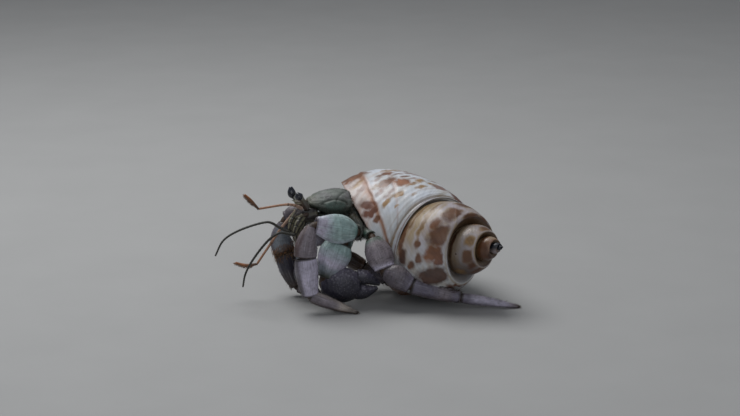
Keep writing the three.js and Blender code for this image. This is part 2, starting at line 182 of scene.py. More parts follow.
def sweepRings(name, rings, sides):
    clearSelection()
    start = {"centre": rings[0]["centre"], "turn": Matrix.Identity(3), "size": (1, 1)}
    bpy.ops.mesh.primitive_circle_add(vertices=sides, radius=mm, location=start["centre"])
    piece = bpy.context.object
    piece.name = piece.data.name = name
    bpy.ops.object.mode_set(mode="EDIT")
    bpy.ops.mesh.select_all(action="SELECT")
    placeRing(start, rings[0])
    for before, ring in zip(rings, rings[1:]):
        bpy.ops.mesh.extrude_edges_move()
        placeRing(before, ring)
    bpy.ops.object.mode_set(mode="OBJECT")
    bpy.ops.object.transform_apply(location=True, rotation=True, scale=True)
    mapRings(piece, rings, sides)
    closeEnd(piece, range(sides))
    closeEnd(piece, range(len(piece.data.vertices) - sides, len(piece.data.vertices)))
    faceOutwards()
    return piece


def writeMap(mesh, places):            # the map "along", with (along, round) for each corner
    uvs = mesh.uv_layers[0] if mesh.uv_layers else mesh.uv_layers.new(name="along")
    uvs.name = "along"
    for face in mesh.polygons:
        here = [places[mesh.loops[i].vertex_index] for i in face.loop_indices]
        wraps = max(h[1] for h in here) - min(h[1] for h in here) > 0.5
        for i, h in zip(face.loop_indices, here):
            uvs.data[i].uv = (h[0], h[1] + (1 if wraps and h[1] < 0.5 else 0))


def mapRings(piece, rings, sides):     # UV: along the piece, and round it from the upper edge
    places = []
    for vertex in piece.data.vertices:
        ring = rings[vertex.index // sides]
        local = ring["turn"].transposed() @ (vertex.co - ring["centre"])
        angle = math.atan2(-local.x / ring["size"][0], local.y / ring["size"][1])
        places.append((ring["along"], (angle / (2 * math.pi)) % 1.0))
    writeMap(piece.data, places)


def faceOutwards():
    bpy.ops.object.mode_set(mode="EDIT")
    bpy.ops.mesh.select_all(action="SELECT")
    bpy.ops.mesh.normals_make_consistent(inside=False)
    bpy.ops.object.mode_set(mode="OBJECT")


def closeEnd(piece, indices):
    for element in (*piece.data.vertices, *piece.data.edges, *piece.data.polygons):
        element.select = False
    for i in indices:
        piece.data.vertices[i].select = True
    bpy.ops.object.mode_set(mode="EDIT")
    bpy.ops.mesh.merge(type="CENTER")
    bpy.ops.object.mode_set(mode="OBJECT")


def limbRings(path, wide, thick, side, count, ends):
    points = [at(p) for p in path]
    rings = []
    # the ends: (shift along the axis in mm, share of the end's size), from the pole outwards
    lines = [(0.0, shift, share) for shift, share in ends[0]]
    lines += [(k / (count - 1), 0.0, 1.0) for k in range(count)]
    lines += [(1.0, shift, share) for shift, share in reversed(ends[1])]
    for along, shift, share in lines:
        axis = (alongPath(points, along + 0.01) - alongPath(points, along - 0.01)).normalized()
        out = Vector(side) - axis * axis.dot(Vector(side))
        out.normalize()
        turn = Matrix((out, axis.cross(out), axis)).transposed()
        size = (profileAt(thick, along) * share, profileAt(wide, along) * share)
        rings.append({"centre": alongPath(points, along) + axis * shift * mm, "turn": turn,
                      "size": size, "along": along})
    return rings


roundEnds = (((-0.35, 0.05), (-0.33, 0.5), (-0.2, 0.82)), ((0.35, 0.05), (0.33, 0.5), (0.2, 0.82)))
blunt = ((-0.15, 0.05), (-0.15, 0.6), (-0.1, 0.9))
socketEnds = (blunt, ((-0.7, 0.05), (-0.7, 0.6), (-0.05, 0.82), (0.06, 0.93)))
tipEnds = (blunt, ((0.1, 0.05), (0.08, 0.6)))


def limbPiece(name, path, wide, thick, side=outward, count=9, sides=16, ends=socketEnds, levels=2):
    piece = sweepRings(name, limbRings(path, wide, thick, side, count, ends), sides)
    subdivide(piece, levels)
    piece["axis"] = tuple((at(path[-1]) - at(path[0])).normalized())
    return piece


# sculpting and painting in one pass: rule(u, v, p, n) gives a lift in mm and a colour
def surfacePlaces(piece):
    uvs = piece.data.uv_layers[0].data
    places = [None] * len(piece.data.vertices)
    for loop in piece.data.loops:
        if places[loop.vertex_index] is None:
            u, v = uvs[loop.index].uv
            places[loop.vertex_index] = (u, v % 1.0)
    return places


def sculpt(piece, rule):
    mesh = piece.data
    places = surfacePlaces(piece)
    normals = [v.normal.copy() for v in mesh.vertices]
    tint = mesh.color_attributes.new("tint", "FLOAT_COLOR", "POINT")
    for vertex, normal, (u, v) in zip(mesh.vertices, normals, places):
        lift, colour = rule(u, v, vertex.co / mm, normal)
        vertex.co += normal * lift * mm
        vertex.co.z = max(vertex.co.z, 0.0)        # nothing dips below the ground
        tint.data[vertex.index].color = (*colour, 1)
    mesh.update()


def smoothShade(piece):
    for face in piece.data.polygons:
        face.use_smooth = True


def finish(piece, material, slot, *nodes):
    piece.data.materials.clear()
    piece.data.materials.append(material)
    smoothShade(piece)
    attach(piece, "root")
    if nodes:
        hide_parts(*nodes)


pieces = {}


def dress(piece, name, rule, material, slot, *nodes):
    sculpt(piece, rule)
    finish(piece, material, slot, *nodes)
    pieces[name] = piece


def addSkin(name, rule, material, slot, *shape, nodes=(), **how):
    piece = limbPiece("skin_" + name, *shape, **how)
    dress(piece, name, rule, material, slot, *(nodes or (name,)))


def grains(p, size, seed=0.0):         # 0..1, high on the crown of each grain
    distances, _ = noise.voronoi(Vector((p[0] + seed, p[1], p[2])) / size)
    return max(0.0, 1.0 - 1.5 * distances[0])


def wobble(p, size, seed=0.0):         # -1..1, smooth
    return noise.noise(Vector((p[0] + seed, p[1], p[2])) / size)


# materials
def node(tree, kind, inputs=None, **settings):
    made = tree.nodes.new("ShaderNode" + kind)
    for key, value in settings.items():
        setattr(made, key, value)
    for key, value in (inputs or {}).items():
        if isinstance(value, bpy.types.NodeSocket):
            tree.links.new(value, made.inputs[key])
        else:
            made.inputs[key].default_value = value
    return made


def ramp(tree, value, *stops):         # stops: (place, level)
    made = node(tree, "ValToRGB", {"Fac": value})
    while len(made.color_ramp.elements) < len(stops):
        made.color_ramp.elements.new(0.5)
    for element, (place, level) in zip(made.color_ramp.elements, stops):
        element.position = place
        element.color = (*level, 1) if isinstance(level, tuple) else (level, level, level, 1)
    return made.outputs["Color"]


def mixColour(tree, amount, a, b, blend="MIX"):
    made = node(tree, "Mix", data_type="RGBA", blend_type=blend)
    for key, value in ((0, amount), (6, a), (7, b)):
        if isinstance(value, bpy.types.NodeSocket):
            tree.links.new(value, made.inputs[key])
        else:
            made.inputs[key].default_value = (*value, 1) if isinstance(value, tuple) else value
    return made.outputs[2]


def newMaterial(name, **sockets):
    material = bpy.data.materials.new(name)
    material.use_nodes = True
    shader = material.node_tree.nodes["Principled BSDF"]
    for key, value in sockets.items():
        shader.inputs[key.replace("_", " ")].default_value = value
    return material, material.node_tree, shader


def noiseAt(tree, coordinates, scale, detail=3.0, roughness=0.55, stretch=None, distortion=0.0):
    if stretch:
        coordinates = node(tree, "Mapping", {"Vector": coordinates, "Scale": stretch}).outputs[0]
    return node(tree, "TexNoise", {"Vector": coordinates, "Scale": scale, "Detail": detail,
                                   "Roughness": roughness, "Distortion": distortion}).outputs["Fac"]


def addBump(tree, shader, *layers):    # layers: (height, strength, distance in mm)
    normal = None
    for height, strength, distance in layers:
        bump = node(tree, "Bump", {"Height": height, "Strength": strength, "Distance": distance * mm})
        if normal:
            tree.links.new(normal, bump.inputs["Normal"])
        normal = bump.outputs["Normal"]
    tree.links.new(normal, shader.inputs["Normal"])


def painted(tree, name, output="Color"):       # what was painted on the skin
    return node(tree, "Attribute", attribute_name=name).outputs[output]


def cloudedTint(tree, place, scale, low, high, detail=3.0):    # low, high: (noise, brightness)
    cloud = ramp(tree, noiseAt(tree, place, scale, detail), low, high)
    return mixColour(tree, 1.0, painted(tree, "tint"), cloud, "MULTIPLY")


def makePlateMaterial(name, roughness, streak, fleck, bump):
    material, tree, shader = newMaterial(name, Roughness=roughness, Coat_Weight=0.06, Coat_Roughness=0.3)
    coords = node(tree, "TexCoord")
    place, along = coords.outputs["Object"], coords.outputs["UV"]
    colour = cloudedTint(tree, place, 700, (0.3, 0.74), (0.72, 1.2))
    lines = noiseAt(tree, along, 1.0, 4.0, stretch=(2.5, 75, 1))
    colour = mixColour(tree, streak, colour, ramp(tree, lines, (0.35, 0.6), (0.65, 1.35)), "MULTIPLY")
    cells = node(tree, "TexVoronoi", {"Vector": place, "Scale": 2300.0}).outputs["Distance"]
    specks = ramp(tree, cells, (0.06, 1.0), (0.2, 0.0))
    amount = node(tree, "Math", {0: specks, 1: fleck}, operation="MULTIPLY").outputs[0]
    colour = mixColour(tree, amount, colour, (0.62, 0.58, 0.60))
    tree.links.new(colour, shader.inputs["Base Color"])
    fine = noiseAt(tree, place, 5200, 2.0)
    addBump(tree, shader, (lines, 0.25 * streak + 0.05, 0.08), (cells, bump, 0.07), (fine, 0.25, 0.03))
    return material


plateMaterial = makePlateMaterial("cuticle", 0.42, 0.55, 0.10, 0.22)
clawMaterial = makePlateMaterial("clawCuticle", 0.40, 0.15, 0.38, 0.45)
shieldMaterial = makePlateMaterial("shieldCuticle", 0.62, 0.10, 0.30, 0.60)


def makeSoftMaterial():
    material, tree, shader = newMaterial("softSkin", Roughness=0.55, Subsurface_Weight=0.08,
                                         Subsurface_Scale=0.0008)
    place = node(tree, "TexCoord").outputs["Object"]
    colour = cloudedTint(tree, place, 900, (0.3, 0.6), (0.7, 1.25), 4.0)
    tree.links.new(colour, shader.inputs["Base Color"])
    folds = noiseAt(tree, place, 1500, 4.0, distortion=0.8)
    addBump(tree, shader, (folds, 0.5, 0.15))
    return material


softMaterial = makeSoftMaterial()


def makeHairMaterial():
    material, tree, shader = newMaterial("bristle", Roughness=0.45)
    place = node(tree, "TexCoord").outputs["Object"]
    tree.links.new(cloudedTint(tree, place, 1500, (0.3, 0.7), (0.7, 1.3)), shader.inputs["Base Color"])
    return material


hairMaterial = makeHairMaterial()


def makeFeelerMaterial():
    material, tree, shader = newMaterial("feelerSkin", Roughness=0.42)
    place = node(tree, "TexCoord").outputs["Object"]
    tree.links.new(cloudedTint(tree, place, 1800, (0.3, 0.75), (0.7, 1.25)), shader.inputs["Base Color"])
    addBump(tree, shader, (noiseAt(tree, place, 6000, 2.0), 0.3, 0.03))
    return material


feelerMaterial = makeFeelerMaterial()


def makeCorneaMaterial():
    material, tree, shader = newMaterial("cornea", Roughness=0.12, Coat_Weight=0.6, Coat_Roughness=0.06)
    place = node(tree, "TexCoord").outputs["Object"]
    black, blue = (0.006, 0.007, 0.012), (0.02, 0.024, 0.04)
    colour = ramp(tree, noiseAt(tree, place, 900), (0.35, black), (0.7, blue))
    tree.links.new(colour, shader.inputs["Base Color"])
    facets = node(tree, "TexVoronoi", {"Vector": place, "Scale": 9000.0}).outputs["Distance"]
    addBump(tree, shader, (facets, 0.25, 0.02))
    return material


corneaMaterial = makeCorneaMaterial()


def addFloor():
    clearSelection()
    bpy.ops.mesh.primitive_plane_add(size=stage["floorSize"], location=(0, 0, 0))
    floor = bpy.context.object
    floor.name = "floor"
    material, tree, shader = newMaterial("floorPaint", Roughness=0.75)
    place = node(tree, "TexCoord").outputs["Object"]
    dim, bright = (tuple(c * share for c in stage["floorColour"]) for share in (0.97, 1.03))
    colour = ramp(tree, noiseAt(tree, place, 40), (0.2, dim), (0.8, bright))
    tree.links.new(colour, shader.inputs["Base Color"])
    floor.data.materials.append(material)


addFloor()
print("materials and floor made")


# colours of the animal, as 0-255 screen values
def tone(r, g, b):
    return tuple(((c / 255 + 0.055) / 1.055) ** 2.4 if c > 10 else c / 3295 for c in (r, g, b))


hues = {name: tone(*screen) for name, screen in {
    "turquoise": (158, 184, 183), "paleTurquoise": (190, 207, 206), "deepTurquoise": (112, 150, 144),
    "lavender": (188, 182, 202), "paleLavender": (204, 200, 212), "mauve": (126, 117, 125),
    "purple": (106, 101, 118), "dusk": (94, 87, 96), "shadow": (66, 60, 64),
    "claw": (46, 44, 58), "clawUnderShade": (25, 24, 31), "slate": (132, 140, 149), "mist": (172, 182, 192),
    "olive": (84, 80, 60), "paleOlive": (122, 118, 94), "darkOlive": (44, 51, 42),
    "shield": (112, 118, 112), "shieldDark": (80, 98, 90), "pit": (70, 96, 86),
    "brown": (84, 60, 42), "darkBrown": (42, 33, 27), "orange": (158, 98, 54), "rust": (84, 64, 62),
    "sand": (176, 166, 156), "umber": (66, 50, 41), "belly": (132, 84, 70), "stalk": (176, 180, 172),
    "feeler": (56, 60, 53), "black": (22, 20, 22),
}.items()}


def alongHues(names, u):
    s = min(max(u, 0.0), 0.9999) * (len(names) - 1)
    i = int(s)
    return mix(hues[names[i]], hues[names[i + 1]], step(0, 1, s - i)) if len(names) > 1 else hues[names[0]]


usualPlate = {
    "folds": 10, "fold": 0.05, "foldShade": 0.35, "grain": 0.06, "grainSize": 0.55,
    "keel": 0.16, "rim": 0.09, "frontEdge": (0.35, 0.75), "frontShare": 0.85,
    "under": "umber", "underShare": 0.5,
    "upper": "sand", "upperShare": 0.15, "streak": 0.25, "streakHue": "paleLavender",
    "crown": "sand", "crownShare": 0.6,
}


def plateRule(own):                    # the skin of one leg segment
    look = {**usualPlate, **own}

    def rule(u, v, p, n):
        wave = u * look["folds"] + 0.8 * wobble(p, 2.2) + 0.5 * math.cos(4 * math.pi * v)
        fold = (1 - abs(math.sin(math.pi * wave))) ** 5 * step(0.08, 0.2, u) * step(0.98, 0.85, u)
        grain = grains(p, look["grainSize"])
        keel = aroundBell(v, 0.0, 0.06) + 0.6 * aroundBell(v, 0.5, 0.07)
        rim = bell(u, 0.965, 0.03) - 0.7 * bell(u, 0.90, 0.022)
        middle = math.sin(math.pi * min(max(u, 0), 1))
        lift = (keel * look["keel"] * middle - fold * look["fold"] + grain * look["grain"]
                + rim * look["rim"] + 0.05 * wobble(p, 1.6, 5))
        streak = step(0.05, 0.6, noise.noise(Vector((v * 40, u * 1.5, 2.0))))
        joint = 0.8 * step(0.035, 0.0, u) + 0.6 * step(0.985, 1.0, u)
        colour = alongHues(look["along"], u + 0.08 * wobble(p, 2.5, 9))
        # painted shade: the face towards -x takes the darker front hue
        if "front" in look:
            colour = mix(colour, hues[look["front"]], step(*look["frontEdge"], -n.x) * look["frontShare"])
        # painted shade beneath and painted light on top, both by the normal, and painted shade in the fold
        # creases
        for hue, share in (
                (look["under"], step(-0.15, -0.85, n.z) * look["underShare"]),
                (look["upper"], step(0.45, 0.95, n.z) * look["upperShare"]),
                (look["streakHue"], look["streak"] * streak),
                ("darkBrown", look["foldShade"] * fold + joint),
                (look["crown"], 0.35 * grain ** 2 * look["crownShare"])):
            colour = mix(colour, hues[hue], share)
        return lift, colour
    return rule


# walking legs
legs = {
    "leg2_left": {
        "ischium": ([(-3.2, 1.6, 18.4), (-3.3, -1.2, 18.6), (-3.4, -3.7, 18.9)],
                    (2.0, 2.3, 2.2, 1.9), (1.6, 1.8, 1.7, 1.4),
                    {"along": ["darkOlive", "darkOlive", "shield"], "folds": 4}),
        "merus": ([(-3.6, -4.2, 19.0), (-8.8, -7.2, 20.9), (-13.4, -8.9, 22.2)],
                  (1.9, 3.3, 3.7, 3.4, 2.8, 2.1), (1.2, 1.9, 2.1, 2.0, 1.7, 1.3),
                  {"along": ["deepTurquoise", "turquoise", "turquoise", "turquoise", "mist",
                             "lavender", "lavender"],
                   "folds": 7, "fold": 0.025, "upper": "paleTurquoise", "upperShare": 0.35,
                   "under": "lavender", "grain": 0.03, "streak": 0.6, "streakHue": "paleTurquoise"}),
        # the carpus's rust front and the propodus's shadow front are painted shade on their faces towards
        # -x
        "carpus": ([(-14.4, -9.2, 22.2), (-15.6, -9.8, 18.2), (-15.9, -10.1, 14.5)],
                   (1.1, 2.0, 2.5, 3.0, 2.9), (1.0, 1.8, 2.1, 2.2, 2.0),
                   {"along": ["mauve"], "front": "rust", "frontEdge": (0.1, 0.6), "folds": 8,
                    "fold": 0.04, "grain": 0.05}),
        "propodus": ([(-15.9, -10.1, 14.0), (-15.5, -10.4, 9.6), (-14.8, -10.6, 4.7)],
                     (2.8, 3.0, 2.8, 2.5, 2.1), (1.9, 2.1, 2.1, 1.9, 1.6),
                     {"along": ["lavender"], "front": "shadow", "frontEdge": (0.05, 0.6),
                      "folds": 9, "fold": 0.03, "grain": 0.05}),
        "dactyl": ([(-14.6, -10.6, 4.5), (-11.4, -10.8, 3.2), (-7.2, -11.0, 1.7), (-3.1, -11.2, 0.3)],
                   (1.5, 1.6, 1.3, 0.9, 0.4), (1.3, 1.4, 1.1, 0.8, 0.4),
                   {"along": ["dusk", "mauve", "mauve", "sand", "darkBrown"], "under": "umber",
                    "underShare": 0.95, "folds": 12, "upperShare": 0.5}),
    },
    "leg3_left": {
        "ischium": ([(-1.2, 2.2, 17.8), (-0.3, -0.8, 18.0), (0.5, -3.4, 17.8)],
                    (1.9, 2.1, 2.0, 1.7), (1.6, 1.7, 1.6, 1.3),
                    {"along": ["darkOlive", "darkOlive", "pit"], "folds": 4}),
        "merus": ([(0.6, -4.0, 17.3), (2.3, -6.0, 13.9), (3.7, -7.5, 10.6)],
                  (1.9, 3.1, 3.5, 3.3, 2.5), (1.3, 2.0, 2.2, 2.1, 1.7),
                  {"along": ["pit", "mauve", "mauve", "mauve", "lavender"], "folds": 15, "fold": 0.10,
                   "grain": 0.05, "rim": 0.14, "foldShade": 0.7, "streak": 0.0}),
        "carpus": ([(3.4, -7.9, 9.9), (6.8, -8.3, 8.7), (10.0, -8.3, 6.8)],
                   (1.5, 2.6, 2.9, 2.7, 2.3), (1.3, 1.9, 2.1, 2.0, 1.8),
                   {"along": ["dusk", "dusk", "purple"], "folds": 12, "fold": 0.07, "foldShade": 0.6,
                    "streak": 0.1}),
        "propodus": ([(10.4, -8.2, 6.5), (16.5, -7.8, 4.7), (22.3, -7.4, 3.1)],
                     (2.1, 2.1, 1.9, 1.7, 1.4), (1.7, 1.8, 1.6, 1.5, 1.2),
                     {"along": ["purple", "purple", "mauve", "purple"], "folds": 14, "fold": 0.05,
                      "under": "umber", "foldShade": 0.5, "streak": 0.1}),
        "dactyl": ([(22.7, -7.4, 3.0), (30.2, -7.0, 1.8), (37.3, -6.3, 0.3)],
                   (1.3, 1.25, 1.0, 0.75, 0.4), (1.15, 1.1, 0.9, 0.7, 0.4),
                   {"along": ["purple", "lavender", "lavender", "umber"], "folds": 18, "fold": 0.05}),
    },
    "leg2_right": {
        "ischium": ([(-9.4, 4.4, 18.8), (-11.0, 4.9, 19.0), (-12.6, 5.3, 19.4)],
                    (1.9, 2.1, 2.0, 1.8), (1.5, 1.6, 1.5, 1.3),
                    {"along": ["darkOlive", "mauve"], "folds": 4}),
        "merus": ([(-13.0, 5.4, 19.6), (-18.0, 6.0, 20.9), (-21.4, 6.0, 19.7)],
                  (1.9, 2.6, 2.8, 2.5, 1.9), (1.3, 1.9, 2.0, 1.9, 1.5),
                  {"along": ["turquoise", "mauve", "dusk", "dusk"], "folds": 7, "fold": 0.03,
                   "streak": 0.1}),
        # the carpus's dusk front is painted shade, and the propodus's dark run of claw, shadow and umber
        # stands for the shade on this far leg
        "carpus": ([(-21.8, 5.8, 18.8), (-22.7, 5.4, 14.8), (-21.7, 4.8, 11.5)],
                   (1.4, 2.2, 2.6, 2.9, 2.7), (1.2, 1.9, 2.1, 2.1, 1.9),
                   {"along": ["dusk", "slate", "slate", "slate", "brown"], "front": "dusk", "folds": 8,
                    "under": "brown", "streak": 0.1}),
        "propodus": ([(-21.5, 4.7, 11.0), (-20.3, 4.3, 6.6), (-18.8, 4.0, 2.7)],
                     (2.7, 2.8, 2.5, 2.1, 1.7), (1.9, 2.0, 1.9, 1.7, 1.4),
                     {"along": ["claw", "claw", "shadow", "umber"], "folds": 9, "under": "umber",
                      "crownShare": 0.3}),
        "dactyl": ([(-18.2, 3.9, 2.3), (-14.2, 2.9, 1.4), (-10.4, 2.1, 0.3)],
                   (1.5, 1.4, 1.0, 0.7, 0.4), (1.2, 1.1, 0.9, 0.7, 0.4),
                   {"along": ["mauve", "sand", "sand", "darkBrown"], "folds": 12, "underShare": 0.9}),
    },
    "leg3_right": {
        "ischium": ([(-4.2, 5.6, 17.8), (-4.7, 6.4, 16.9), (-5.1, 7.0, 15.9)],
                    (1.6, 1.8, 1.8, 1.5), (1.4, 1.5, 1.5, 1.2),
                    {"along": ["darkOlive", "mauve"], "folds": 3}),
        "merus": ([(-5.2, 7.2, 15.4), (-7.0, 8.6, 12.4), (-7.3, 9.2, 9.8)],
                  (1.5, 2.3, 2.6, 2.5, 2.0), (1.2, 1.8, 2.0, 1.9, 1.5),
                  {"along": ["deepTurquoise", "mauve", "mauve", "brown"], "folds": 12, "fold": 0.06}),
        "carpus": ([(-6.9, 9.4, 9.2), (-4.4, 9.4, 7.7), (-1.8, 9.3, 6.3)],
                   (1.3, 1.9, 2.0, 1.9, 1.7), (1.2, 1.8, 1.9, 1.8, 1.6),
                   {"along": ["brown", "umber", "brown"], "folds": 10}),
        "propodus": ([(-1.4, 9.3, 6.1), (1.4, 8.9, 4.4), (4.0, 8.3, 2.7)],
                     (1.6, 1.6, 1.5, 1.4, 1.2), (1.5, 1.5, 1.4, 1.3, 1.1),
                     {"along": ["umber", "purple", "mauve"], "folds": 12}),
        "dactyl": ([(4.4, 8.2, 2.5), (7.6, 7.4, 1.5), (10.6, 6.4, 0.3)],
                   (1.1, 1.0, 0.8, 0.6, 0.4), (1.0, 0.9, 0.8, 0.6, 0.4),
                   {"along": ["mauve", "sand", "umber"], "folds": 14, "underShare": 0.9}),
    },
}


def makeLegs():
    for leg, segments in legs.items():
        for segment, (*shape, look) in segments.items():
            ends = tipEnds if segment == "dactyl" else socketEnds
            addSkin(f"{leg}_{segment}", plateRule(look), plateMaterial, "leg", *shape, ends=ends)


makeLegs()
print("walking legs made")


# claws
def fuse(name, parts, voxel):          # overlapping parts become one skin
    piece = joined(name, parts)
    applyModifier(piece, "REMESH", mode="VOXEL", voxel_size=voxel * mm)
    applyModifier(piece, "SMOOTH", factor=0.5, iterations=6)
    return piece


def unwrapAlong(piece, path):          # gives a fused skin its along-and-round map again
    points = [at(p) for p in path]
    axis = (points[-1] - points[0]).normalized()
    length = (points[-1] - points[0]).length
    out = Vector(outward) - axis * axis.dot(Vector(outward))
    out.normalize()
    up = axis.cross(out)
    places = []
    for vertex in piece.data.vertices:
        r = vertex.co - points[0]
        angle = math.atan2(-r.dot(out), r.dot(up)) / (2 * math.pi) % 1.0
        places.append((min(max(r.dot(axis) / length, 0), 1), angle))
    writeMap(piece.data, places)
    piece["axis"] = tuple(axis)


claws = {
    "left": {
        "dactyl": ([(-3.2, -6.1, 8.2), (-0.3, -5.8, 7.6), (2.4, -5.3, 5.9)],
                   (1.8, 2.0, 1.7, 1.2, 0.5), (1.6, 1.8, 1.5, 1.0, 0.5)),
        "palm": ([(-12.0, -6.6, 5.6), (-7.4, -6.4, 6.0), (-2.6, -6.0, 6.2)],
                 (2.6, 4.0, 4.6, 4.3, 3.0), (1.8, 2.7, 3.1, 2.8, 2.0)),
        "pollex": ([(-5.0, -6.1, 4.6), (-1.3, -5.8, 4.2), (1.9, -5.3, 5.0)],
                   (1.8, 2.2, 1.9, 1.2, 0.5), (1.6, 1.9, 1.6, 1.0, 0.5)),
        "carpus": ([(-7.6, -4.2, 16.2), (-9.2, -5.5, 12.4), (-11.0, -6.6, 8.0)],
                   (3.5, 4.3, 4.1, 3.3, 2.3), (2.0, 2.7, 2.9, 2.6, 1.9)),
        "merus": ([(-5.6, 0.6, 17.0), (-6.4, -1.6, 16.4), (-6.4, -3.9, 15.9)],
                  (2.0, 2.4, 2.6, 2.5, 2.2), (1.6, 2.0, 2.2, 2.2, 1.9)),
        "voxel": 0.16, "grain": 0.16, "grainSize": 0.75,
    },
    "right": {
        "dactyl": ([(-15.6, -0.6, 5.2), (-14.0, -1.5, 3.6), (-12.4, -2.2, 2.0)],
                   (0.9, 1.1, 0.9, 0.7, 0.4), (1.0, 1.1, 0.9, 0.7, 0.4)),
        "palm": ([(-17.3, 1.9, 9.0), (-16.9, 0.9, 6.8), (-15.7, -0.4, 4.6)],
                 (1.5, 2.3, 2.6, 2.4, 1.8), (1.4, 2.0, 2.2, 2.0, 1.5)),
        "pollex": ([(-16.4, 0.0, 4.8), (-15.1, -1.0, 2.9), (-13.3, -1.9, 1.2)],
                   (1.2, 1.2, 1.0, 0.7, 0.4), (1.1, 1.1, 0.9, 0.7, 0.4)),
        "carpus": ([(-14.6, 3.0, 14.2), (-16.2, 2.6, 12.0), (-17.2, 2.1, 9.6)],
                   (1.5, 2.2, 2.5, 2.3, 1.6), (1.3, 1.9, 2.1, 1.9, 1.4)),
        "merus": ([(-9.5, 3.4, 17.0), (-12.0, 3.4, 16.0), (-14.2, 3.1, 14.7)],
                  (1.7, 2.1, 2.3, 2.2, 1.6), (1.4, 1.8, 2.0, 1.8, 1.3)),
        "voxel": 0.14, "grain": 0.09, "grainSize": 0.6,
    },
}


clawLooks = {
    "left": {"carpus": ["turquoise", "turquoise", "mist", "lavender", "slate", "darkOlive"],
             "merus": ["deepTurquoise", "turquoise", "turquoise"]},
    "right": {"carpus": ["mauve", "lavender", "slate"], "merus": ["mauve", "mauve", "lavender"]},
}
armPlates = {"carpus": {"folds": 8, "fold": 0.03, "under": "purple", "rim": 0.12}, "merus": {"folds": 6}}


def clawRule(claw):                    # a granular skin, its crowns pale on the upper side as painted highlights, with painted shade beneath and painted light on top
    def rule(u, v, p, n):
        coarse = grains(p, claw["grainSize"])
        fine = grains(p, claw["grainSize"] * 0.5, 3.3)
        lift = claw["grain"] * (coarse + 0.35 * fine) * (0.55 + 0.45 * step(-0.5, 0.7, n.z)) - 0.05
        # painted shade: darker beneath, by the normal
        colour = mix(hues["claw"], hues["clawUnderShade"], step(0.2, -0.8, n.z) + 0.3 * wobble(p, 3.0))
        # painted light: lighter purple on the top
        colour = mix(colour, hues["purple"], 0.8 * step(0.1, 0.9, n.z))
        # painted highlights: pale crowns on the grains that face up
        colour = mix(colour, hues["paleLavender"], 0.3 * step(0.25, 0.8, coarse) * step(0.1, 0.8, n.z))
        colour = mix(colour, hues["sand"], 0.5 * step(0.4, 0.9, fine) * step(0.45, 0.95, n.z))
        return lift, colour
    return rule


def makeClaws():
    for side, claw in claws.items():
        name = f"claw_{side}_"
        for segment, plate in armPlates.items():
            look = {**plate, "along": clawLooks[side][segment]}
            aim = (1, 0, 0) if side == "left" and segment == "merus" else outward
            addSkin(name + segment, plateRule(look), plateMaterial, "claw", *claw[segment], side=aim)
        hand = [limbPiece("part_" + part, *claw[part], ends=roundEnds if part == "palm" else tipEnds)
                for part in ("palm", "pollex")]
        palm = fuse("skin_" + name + "palm", hand, claw["voxel"])
        unwrapAlong(palm, claw["palm"][0])
        palmName, fingerName = name + "palm", name + "dactyl"
        dress(palm, palmName, clawRule(claw), clawMaterial, "claw", palmName)
        addSkin(fingerName, clawRule(claw), clawMaterial, "claw", *claw["dactyl"], ends=tipEnds, count=12)


makeClaws()
print("claws made")


# the snail shell
shell = {
    "apex": (33.0, -12.5, 17.5), "yaw": 0.70, "pitch": -0.122, "lipAngle": 1.563,
    "radius": 10.57, "reach": 27.5, "radiusDecay": 0.733, "reachDecay": 0.627,
    "radiusEase": 1.503, "reachEase": -0.936, "easeTurns": 0.55, "turns": 5.6,
    "spire": [(0, 0), (0.15, 0.11), (0.43, 0.70), (0.46, 1.35), (0.24, 2.0), (-0.25, 2.6), (-0.62, 2.75)],
    "last": [(0, 0), (0.17, 0.10), (0.46, 0.70), (0.64, 1.6), (0.46, 2.3), (-0.1, 2.85), (-0.62, 2.85)],
    "pillar": [(-0.78, 2.6), (-0.82, 1.9), (-0.82, 1.3), (-0.65, 0.8), (-0.45, 0.35), (-0.2, 0.12)],
    "start": -0.05, "outerSteps": 30, "firstStep": 0.0125, "stepGrowth": 0.55,
    "lining": 0.86, "liningTurns": 0.62,
    "mouthPoint": (-3.8, 5, 23.4), "mouthNormal": (-0.87, -0.13, -0.49),
    "mapTurns": 5, "patternTurns": 3.2, "rimThickness": 0.035, "liningStep": 0.03,
}


def shellAxes():
    yaw, pitch = shell["yaw"], shell["pitch"]
    axis = Vector((-math.cos(yaw) * math.cos(pitch), math.sin(yaw) * math.cos(pitch), math.sin(pitch)))
    top = (Vector((0, 0, 1)) - axis * axis.z).normalized()
    return axis, top, top.cross(axis)


def wound(size, decay, ease, turns):
    easing = ease * shell["easeTurns"] * (1 - math.exp(-turns / shell["easeTurns"]))
    return size * math.exp(-decay * (turns - easing))


def sutureAt(turns):                   # radius and reach of the suture, in mm
    return (wound(shell["radius"], shell["radiusDecay"], shell["radiusEase"], turns),
            wound(shell["reach"], shell["reachDecay"], shell["reachEase"], turns))


def sectionPoints(points):
    steps = shell["outerSteps"]
    outer = [tuple(profileAt([p[k] for p in points], i / steps) for k in (0, 1)) for i in range(steps + 1)]
    return outer + shell["pillar"]


def shellStep(before, turns):          # turns, shrinks and slides the selected ring up the spire
    axis, _, _ = shellAxes()
    apex = at(shell["apex"])
    (r0, h0), (r1, h1) = sutureAt(before), sutureAt(turns)
    turn = Matrix.Rotation(-2 * math.pi * (turns - before), 3, -axis).to_euler("XYZ")
    for letter, angle in zip("XYZ", turn):
        bpy.ops.transform.rotate(value=-angle, orient_axis=letter, center_override=apex)
    bpy.ops.transform.resize(value=(r1 / r0,) * 3, center_override=apex)
    bpy.ops.transform.translate(value=axis * (h1 - h0 * r1 / r0) * mm)


def shellPoint(turns, r, h):
    axis, top, near = shellAxes()
    radius, reach = sutureAt(turns)
    turned = shell["lipAngle"] - 2 * math.pi * turns
    out = top * math.cos(turned) + near * math.sin(turned)
    return at(shell["apex"]) + (out * radius * (1 + r) + axis * (reach + radius * h)) * mm


